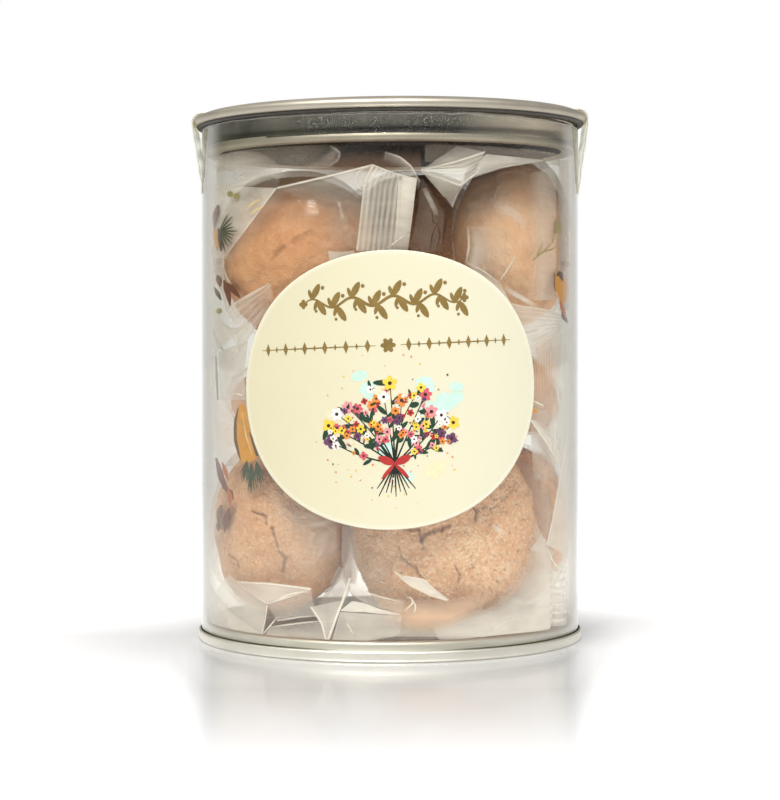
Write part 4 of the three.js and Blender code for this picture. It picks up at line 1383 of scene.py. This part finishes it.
def folds_middle(material):
    f = Folds("film_folds_middle")
    f.flap(BACK_TOP, BACK_LOW, (0.1, 0.7, 0.75), (0.6, 1.0, 0.9, 0.7), BACK_RADIUS, shade=0.95)
    f.flap(BACK_LEFT, BACK_LEFT_LOW, (0.3, 0.55, 0.4), (0.5, 1.0, 0.8), BACK_RADIUS, shade=0.6)
    f.flap(BACK_HIGH, BACK_HIGH_END, (0.35, 0.5, 0.3), (0.8, 1.0, 0.9, 0.0), BACK_RADIUS, shade=0.55)
    f.flap(BACK_RIGHT, BACK_RIGHT_END, (0.15, 0.7, 0.65), (0.5, 1.0, 0.5), FLAP_RADIUS - 0.3, shade=0.9)
    f.flap(BACK_RIGHT_HIGH, BACK_RIGHT_LOW, (0.3, 0.45, 0.3), (0.9, 0.9, 1.0), BACK_RADIUS, shade=0.6)
    f.flap(BACK_SIDE, BACK_SIDE_END, (0.2, 0.35, 0.15), (0.6, 1.0, 1.0), BACK_RADIUS, shade=0.7)
    f.flap(FAN_TOP, FAN_UPPER, (0.3, 0.5, 0.5), (0.5, 1.0, 0.7), DEEP_RADIUS)
    f.flap(FAN_UPPER, FAN_LOWER, (0.8, 0.7, 0.6), (0.5, 0.9, 1.0, 1.0), DEEP_RADIUS, 5, 0.22)
    f.line(FAN_UPPER, 1.6, 0.85, (0.5, 0.8, 1.0, 0.8))
    f.line(FAN_LOWER, 1.6, 0.75, (0.5, 0.8, 1.0))
    f.flap(FAN_FOOT_TOP, FAN_FOOT, (0.6, 0.5, 0.45), (0.8, 1.0, 0.7), DEEP_RADIUS)
    f.flap(BACK_SHEET, BACK_SHEET_END, (0.8, 0.85, 0.6), (1.0, 0.9, 0.7), DEEP_RADIUS)
    f.flap(CRUMPLE, moved(CRUMPLE, -2, 10), (0.4, 0.2, 0.0), (0.7, 1.0, 0.6), DEEP_RADIUS)
    f.line(CRUMPLE, 1.6, 0.7, radius=DEEP_RADIUS)
    f.line(BACK_FOLD, 4.0, 0.35, radius=DEEP_RADIUS)
    f.finish(material)


def folds_right(material):
    f = Folds("film_folds_right")
    f.line(PACK_TOP, 1.6, 0.4, (0.8, 1.0, 0.6, 0.5))
    f.flap(RIGHT_VEIL, RIGHT_VEIL_END, (0.0, 0.22, 0.42, 0.4, 0.3), (0.6, 1.0, 1.0))
    f.line(RIGHT_BAND, 6.0, 0.25)
    f.line(SOFT_FOLD, 8.0, 0.28)
    f.flap(FLAP_EDGE, FLAP_END, (0.0, 0.5, 0.34, 0.24, 0.18, 0.1, 0.0), (0.4, 1.0, 0.9))
    f.line(FLAP_EDGE, 1.8, 0.6)
    f.flap(FLAP_LOW, FLAP_LOW_END, (0.35, 0.65, 0.7))
    f.line(FLAP_LOW, 1.3, 0.7)
    f.line(FLAP_TICK, 1.3, 0.8)
    f.line(LOW_BAND, 4.0, 0.7)
    f.flap(RIGHT_CRIMP, RIGHT_CRIMP_END, (0.75, 0.65, 0.6), (0.9, 1.0, 0.9), CRIMP_RADIUS, 7, 0.2)
    f.line(RIGHT_CRIMP, 1.4, 0.7)
    f.line(RIGHT_GLINT, 1.8, 0.95)
    # Painted shade: the middle sheet is browned a little.
    f.flap(MIDDLE_SHEET, MIDDLE_END, (0.6, 0.8, 0.6, 0.3), (0.1, 0.35, 1.0, 0.3), DEEP_RADIUS, shade=0.3)
    f.line(MIDDLE_STRIPE, 3.0, 0.5)
    f.flap(WEDGE, WEDGE_END, (0.85, 0.6, 0.1), (1.0, 0.9, 0.6))
    f.line(WEDGE, 1.6, 0.95, (1.0, 1.0, 0.7))
    f.flap(RIGHT_EDGE, RIGHT_MARGIN, (0.75, 0.6, 0.4), (0.8, 1.0, 0.9))
    f.line(RIGHT_EDGE, 1.5, 0.9, (0.8, 1.0, 1.0))
    f.line(RIGHT_EDGE_LOW, 1.5, 0.85)
    f.finish(material)


def folds_bottom_left(material):
    f = Folds("film_folds_bottom_left")
    f.flap(TRIANGLE_TOP, TRIANGLE_FOOT, (0.8, 0.65, 0.7), (0.8, 1.0, 0.8))
    f.line(TRIANGLE_TOP, 1.8, 1.0, (0.8, 1.0, 1.0))
    f.line(TRIANGLE_FOOT, 1.3, 0.9)
    f.line(TRIANGLE_RIGHT, 1.4, 0.95)
    f.line(FOOT_EDGE, 1.4, 0.85, (1.0, 1.0, 0.7))
    f.flap(FOOT_LEFT_TOP, FOOT_LEFT, (0.5, 0.7, 0.55), (0.7, 1.0, 0.9))
    f.flap(FOOT_LEFT, FOOT_MARGIN, (0.75, 0.85, 0.6), (1.0, 0.95, 0.8))
    f.flap(TRIANGLE_RIGHT[::-1], FOOT_UPPER, (0.3, 0.22, 0.3))
    f.flap(FOOT_RISE, FOOT_END, (0.25, 0.35, 0.4))
    f.line(FOOT_SLANT, 1.3, 0.85)
    f.line(FOOT_RISE, 1.3, 0.75)
    f.line(FOOT_UPPER, 1.3, 0.7)
    f.line(STAR, 2.2, 0.95, (0.8, 1.0, 0.8))
    f.flap(STAR, STAR_LINE[1:], (0.75, 0.55, 0.65), (0.7, 1.0, 0.9))
    f.line(STAR_LINE, 2.4, 1.0, (0.7, 1.0, 1.0, 0.8))
    # Painted shade: the film in the gap between the two lower packs is browned.
    f.flap(BETWEEN_LEFT, BETWEEN_RIGHT, (0.4, 0.8, 0.4), (0.7, 1.0, 1.0), shade=0.8)
    f.flap(BETWEEN_LOW, BETWEEN_LOW_END, (0.5, 0.75, 0.6), (0.9, 1.0, 0.8), DEEP_RADIUS, shade=0.75)
    f.finish(material)


def folds_bottom_right(material):
    f = Folds("film_folds_bottom_right")
    f.flap(LOW_SHEET, LOW_SHEET_END, (0.0, 0.4, 0.65, 0.65), (0.5, 1.0, 1.0, 0.8, 0.6), DEEP_RADIUS)
    f.flap(PATCH_TOP, PATCH_LOW, (0.95, 0.9, 0.8), (0.9, 1.0, 0.8))
    f.flap(ZONE_TOP, ZONE_LOW, (0.55, 0.45, 0.5), (0.9, 1.0, 0.5))
    f.line(ZONE_TICK, 1.3, 0.8)
    f.flap(FOLD_OVER, FOLD_SHADE, (0.3, 0.15, 0.3), (0.8, 1.0, 0.8))
    f.line(FOLD_OVER, 1.3, 0.6)
    f.line(HOOK, 1.4, 0.85)
    f.line(HOOK_RIGHT, 1.3, 0.8)
    f.flap(FACET_TOP, FACET_LOW, (0.85, 0.9, 0.85), (0.7, 1.0, 1.0, 0.9))
    f.line(FACET_TOP, 1.4, 0.9)
    f.line(SMALL_GLINT, 5.0, 0.4)
    f.flap(SHARD_TOP, SHARD_LOW, (0.55, 0.6, 0.5))
    f.flap(HAZE_LEFT, HAZE_RIGHT, (0.0, 0.5, 0.8, 0.85), (0.7, 1.0, 0.9, 0.4))
    f.flap(END_LEFT, END_RIGHT, (0.0, 0.45, 0.45, 0.3), (0.7, 1.0, 0.8))
    for k in range(END_STROKES):
        f.line(moved(END_STROKE, 0, END_SPACING * k), 3.0, 0.95, radius=CRIMP_RADIUS)
    f.line(FOOT_TICK, 1.3, 0.6)
    f.finish(material)


def crease_shade_material():
    """Painted shade: the dark of a narrow gap between folds of film, laid as a dark sheet."""
    r = Recipe("film_painted_crease_shade")
    return r.finish(r.mix_shader(0.62, r.clear(WHITE), r.diffuse(linear(70, 52, 42))))


def painted_crease_shadows(material):
    # Painted shade: dark strokes in the creases, a dark gap, and a dark band along the base.
    dark = Print("film_painted_crease_shadows", 0.05, laid_on(CRIMP_RADIUS - 0.6), "wrapped_cookie")
    gap = np.concatenate([GAP_LEFT, GAP_RIGHT[::-1]])
    dark.fan(gap.mean(axis=0), gap, 2)
    for path, count, widths in (
        (CREASE_LEFT, 20, (0.5, 1.8, 1.2, 1.8, 0.6)),
        (CREASE_RIGHT, 14, (0.5, 1.8, 0.6)),
        (FIN_CREASE, 12, (0.6, 1.6, 0.6)),
        (LEFT_PAINTED_SHADE, 12, (1.0, 2.6, 1.6)),
        (FOOT_LEFT, 16, (0.6, 1.4, 1.0)),
        (BASE_PAINTED_SHADOW, 30, (1.5, 7.0, 7.0, 5.0, 2.0)),
    ):
        dark.stroke(resampled(path, count), widths)
    dark.finish(material)


# Print on the film, as pixels of the photograph: fruit wedges, tufts of needles, sticks and sprigs
WEDGE_FRONT = [(239, 403), (246, 407), (248, 420), (251, 434), (256, 447), (259, 455), (253, 461)]
WEDGE_BACK = [(245, 463), (241, 462), (237, 455), (235, 444), (233, 430), (234, 418), (238, 410)]
WEDGE_RIND = [(238, 408), (235, 420), (235, 440), (240, 460)]
WEDGE_RIND_LOW = [(249, 432), (254, 444), (257, 456)]
WEDGE_PITH = [(242, 412), (246, 436), (252, 455)]
TUFTS = [
    ((247, 460), [(240, 474), (243, 486), (250, 490)]),
    ((251, 462), [(246, 487), (252, 499), (258, 494)]),
    ((256, 461), [(254, 484), (261, 490), (264, 476)]),
    ((219, 231), [(228, 213), (236, 222), (239, 233), (237, 242), (225, 252)]),
]
STICKS = [
    [(216, 458), (221, 478), (226, 490), (232, 492), (233, 500)],
    [(221, 505), (219, 514), (218, 523)],
    [(229, 508), (226, 520), (224, 533)],
    [(218, 205), (215, 217), (214, 228)],
    [(217, 275), (219, 281), (220, 287)],
    [(224, 280), (228, 294), (230, 306)],
    [(226, 283), (233, 290), (240, 298)],
]
ORANGE_BITS = [
    [(222, 462), (225, 471), (228, 480)],
    [(227, 486), (230, 496), (230, 508)],
    [(560, 300), (563, 309), (566, 318)],
]
DARK_BITS = [
    [(218, 228), (220, 240), (221, 251)],
    [(214, 287), (217, 293), (221, 300)],
    [(557, 276), (560, 272), (563, 281)],
    [(562, 312), (565, 318), (568, 323)],
    [(219, 520), (218, 526), (218, 531)],
]
GOLDEN_BITS = [
    [(213, 227), (216, 238), (217, 250)],
    [(556, 272), (559, 288), (562, 302)],
    [(560, 274), (563, 290), (563, 306)],
    [(565, 276), (566, 290), (565, 304)],
    [(532, 408), (535, 411), (538, 412)],
]
SPRIGS = [
    [(533, 260), (544, 252), (553, 242)],
    [(553, 242), (557, 229), (560, 216)],
    [(545, 251), (552, 250), (558, 245)],
    [(538, 256), (541, 248), (543, 242)],
]
OLIVE_SPOTS = [(230, 194), (236, 196), (219, 311), (559, 224), (559, 230), (567, 264)]
PALE_TWIGS = [
    [(247, 209), (253, 203), (260, 199)],
    [(251, 214), (257, 209), (264, 206)],
]
LOOPS = [(212, 537), (212, 541), (212, 545)]


def film_print():
    """Plain fields of colour on the film."""
    inks = {
        "golden": linear(230, 160, 26), "rind": linear(104, 80, 40), "needle": linear(58, 74, 46),
        "stick": linear(122, 64, 38), "dark": linear(66, 36, 24), "orange": linear(200, 108, 48),
        "olive": linear(170, 158, 96), "pith": linear(244, 222, 160),
    }
    place = laid_on(PRINT_RADIUS)
    prints = {}
    for i, key in enumerate(inks):
        prints[key] = Print("film_print_" + key, 0.01 * i - 0.1, place, "wrapped_cookie")

    def spike(root, tip, width, ink):
        run = np.array(tip, float) - np.array(root, float)
        prints[ink].leaf(root, math.atan2(run[1], run[0]), np.linalg.norm(run), width)

    prints["golden"].fan((244, 442), WEDGE_FRONT + WEDGE_BACK, 3)
    prints["rind"].stroke(resampled(WEDGE_RIND, 12), (0.8, 3.0, 3.4, 1.0))
    prints["rind"].stroke(resampled(WEDGE_RIND_LOW, 10), (0.6, 4.4, 2.6))
    prints["pith"].stroke(resampled(WEDGE_PITH, 10), (0.4, 1.4, 0.6))
    draw = np.random.default_rng(7)
    for root, tips in TUFTS:
        for tip in resampled(tips, 2 * len(tips)):
            reach = np.array(tip) - np.array(root)
            spike(root, root + reach * draw.uniform(0.75, 1.1), 1.5, "needle")
    for ink, paths, count, widths in (
        ("stick", STICKS, 12, (2.0, 6.5, 5.0, 1.0)),
        ("orange", ORANGE_BITS, 8, (1.0, 5.0, 1.0)),
        ("dark", DARK_BITS, 8, (1.0, 5.0, 1.4)),
        ("golden", GOLDEN_BITS, 8, (1.0, 7.0, 1.4)),
        ("olive", SPRIGS, 8, (1.6, 1.0, 0.6)),
        ("pith", PALE_TWIGS, 8, (0.8, 2.2, 0.8)),
    ):
        for path in paths:
            prints[ink].stroke(resampled(path, count), widths)
    for spot in OLIVE_SPOTS:
        prints["olive"].dot(spot, 3.0, 10)
    for spot in LOOPS:
        prints["olive"].stroke([spot, np.array(spot) + (2, 1), np.array(spot) + (0, 3)], (0.8, 1.0, 0.6))
    for key, color in inks.items():
        prints[key].finish(ink_material("film_ink_" + key, color, 0.35, 0.2))


def wrapped_cookies():
    pale = (linear(249, 207, 164), linear(238, 187, 141), linear(220, 161, 113), linear(150, 104, 72))
    # Painted light: a lighter copy of the pale dough, for the upper right cookie, which gets too little
    # light under the lid.
    bright = (linear(255, 220, 184), linear(252, 207, 166), linear(236, 183, 137), linear(150, 104, 72))
    toasted = (linear(232, 178, 130), linear(218, 158, 110), linear(198, 132, 85), linear(130, 84, 54))
    coarse = cookie_material("amaretti_coarse", 1.0, *pale)
    plain = cookie_material("amaretti_plain", 0.65, *pale)
    smooth_crust = cookie_material("amaretti_smooth", 0.12, *toasted)
    painted_light_crust = cookie_material("amaretti_painted_light", 0.12, *bright)
    crusts = {"wrapped_cookie_1": coarse, "wrapped_cookie_3": smooth_crust, "wrapped_cookie_4": painted_light_crust}
    clear = film_material()
    for node in PACKS:
        shown = node in SHOWN
        cookie(node, DOUGH_CUTS[shown], crusts.get(node, plain))
        pack_film(node, FILM_CUTS[shown], clear)
    warm_film(film_material("wrap_film_over_dough", linear(236, 196, 160)))
    folds_left(clear)
    folds_middle(clear)
    folds_right(clear)
    folds_bottom_left(clear)
    folds_bottom_right(clear)
    painted_crease_shadows(crease_shade_material())
    film_print()


# Stage

def camera():
    data = bpy.data.cameras.new("camera")
    data.sensor_width = 36.0
    data.lens = FOCAL_PIXELS * data.sensor_width / IMAGE_LONG_SIDE
    data.shift_y = (HORIZON_ROW - MIDDLE_ROW) / IMAGE_LONG_SIDE
    data.clip_start = 0.01
    made = bpy.data.objects.new("camera", data)
    made.location = Vector(EYE) * MM
    made.rotation_euler = (math.pi / 2, 0.0, 0.0)
    bpy.context.scene.collection.objects.link(made)
    bpy.context.scene.camera = made


def area_light(name, place, aim, size, power, color=(1, 1, 1)):
    data = bpy.data.lights.new(name, "AREA")
    data.shape = "RECTANGLE"
    data.size, data.size_y = size
    data.energy = power
    data.color = color
    made = bpy.data.objects.new(name, data)
    made.location = place
    made.rotation_euler = (Vector(aim) - Vector(place)).to_track_quat("-Z", "Y").to_euler()
    bpy.context.scene.collection.objects.link(made)
    return made


def world():
    """White for the eye, a dim room for what lights the can, and another for what it mirrors."""
    made = bpy.data.worlds.new("studio")
    bpy.context.scene.world = made
    r = Recipe("studio", made, "ShaderNodeOutputWorld")

    def step(value, low, high, to_low=0.0, to_high=1.0):
        return r.ranged(value, low, high, to_low, to_high, interpolation_type="SMOOTHSTEP")

    def glow(strength, color=WHITE):
        return r.add("ShaderNodeBackground", {"Color": color, "Strength": strength}).outputs[0]

    x, y, z = r.split(r.add("ShaderNodeTexCoord").outputs["Generated"])
    ceiling = step(z, 0.6, 0.95, 0.0, 0.75)
    walls = r.math("MULTIPLY", step(r.math("ABSOLUTE", x), 0.6, 0.9, 0.0, 0.42), step(z, 0.75, 0.45))
    lit = glow(r.math("ADD", r.math("MAXIMUM", ceiling, walls), WORLD_DIM))
    pale = r.math("MULTIPLY", step(z, 0.06, 0.3, 0.0, 0.7), step(y, 0.3, 0.6, 1.0, 0.25))
    backdrop = r.math("MULTIPLY", step(y, 0.5, 0.8, 0.0, 0.9), step(z, -0.2, 0.0))
    backdrop = r.math("MULTIPLY", backdrop, step(z, 0.2, 0.1))
    low = step(z, 0.5, 0.2)
    right_side = r.math("MULTIPLY", step(x, 0.5, 0.85, 0.0, 0.22), low)
    left_side = r.math("MULTIPLY", step(x, -0.5, -0.85, 0.0, 0.2), low)
    mirrored = r.math("MAXIMUM", r.math("MAXIMUM", pale, backdrop), right_side)
    mirrored = r.added(glow(r.math("ADD", mirrored, MIRRORED_DIM)), glow(left_side, (0.7, 0.7, 0.4, 1)))
    path = r.add("ShaderNodeLightPath").outputs
    room = r.mix_shader(path["Is Glossy Ray"], lit, mirrored)
    r.finish(r.mix_shader(path["Is Camera Ray"], room, glow(1.0)))


def floor():
    """A white table, with a soft grey pool of painted shadow round the can and its mirror image in front of
    it. From below it can be seen through."""
    r = Recipe("floor_white")
    x, y = r.split()[:2]
    away = r.math("SQRT", r.math("ADD", r.math("POWER", x, 2.0), r.math("POWER", y, 2.0)))
    seen = r.add("ShaderNodeLightPath").outputs["Is Camera Ray"]
    slant = r.math("DIVIDE", r.math("ABSOLUTE", x), r.math("SUBTRACT", y, MIRROR_APEX))
    clear_of_can = r.math("MAXIMUM", r.ranged(y, -0.09, -0.03), r.ranged(slant, 0.083, 0.1))
    # Painted shadow: the table gives off less light close to the can.
    beside = r.math("MULTIPLY", r.ranged(away, 0.05, 0.12, 0.0, 0.5), clear_of_can)
    far = r.math("MAXIMUM", r.ranged(y, 0.0, 0.08, 0.0, 0.5), r.ranged(y, -0.09, -0.2, 0.0, 0.35))
    far = r.math("MAXIMUM", far, r.ranged(x, 0.045, 0.062, 0.0, 0.2))
    light = r.math("ADD", r.math("ADD", beside, far), FLOOR_GLOW)
    light = r.math("MULTIPLY_ADD", seen, r.math("SUBTRACT", light, FLOOR_BOUNCE), FLOOR_BOUNCE)
    both = r.added(r.diffuse((0.4, 0.4, 0.4, 1)), r.emission(light))
    image = r.math("MULTIPLY", r.ranged(slant, 0.08, 0.092, 1.0, 0.0), r.ranged(y, 0.0, -0.03))
    image = r.math("MULTIPLY", image, r.ranged(away, 0.055, 0.18, 0.55, 0.0))
    mirror = r.mix_shader(image, both, r.gloss(0.12))
    table = r.mix_shader(r.ranged(away, 0.15, 0.6), mirror, r.emission(1.0))
    below = r.add("ShaderNodeNewGeometry").outputs["Backfacing"]
    material = r.finish(r.mix_shader(below, table, r.clear(WHITE)))
    mesh = bpy.data.meshes.new("floor")
    corners = [(x * TABLE_HALF, y * TABLE_HALF, 0) for x, y in ((-1, -1), (1, -1), (1, 1), (-1, 1))]
    mesh.from_pydata(corners, [], [(0, 1, 2, 3)])
    mesh.materials.append(material)
    made = bpy.data.objects.new("floor", mesh)
    bpy.context.scene.collection.objects.link(made)


def studio():
    camera()
    world()
    floor()
    area_light("key", *KEY_LIGHT, KEY_COLOR)
    fill = area_light("fill", *FILL_LIGHT)
    fill.visible_glossy = False
    scene = bpy.context.scene
    scene.view_settings.view_transform = "Standard"
    scene.view_settings.look = "None"
    scene.cycles.transparent_max_bounces = 32
    scene.cycles.max_bounces = 12


def build():
    # Painted light: one tinplate in two copies, the base's lighter for the bright table it mirrors, the
    # lid's darker for its dimmer reflections.
    lid_metal = tinplate_material("tinplate_lid", linear(188, 181, 166), linear(170, 163, 149), 0.44, 0.58)
    base_metal = tinplate_material("tinplate_base", linear(217, 214, 203), linear(207, 203, 192), 0.42, 0.55)
    clear_wall(clear_wall_material(), cut_edge_material())
    lid(lid_metal, frosted_tinplate_material(), lacquer_material(), compound_material())
    base_end(base_metal, seam_shadow_material())
    tapes(tape_material())
    wrapped_cookies()
    label(paper_material())
    ornament()
    posy()
    studio()


build()
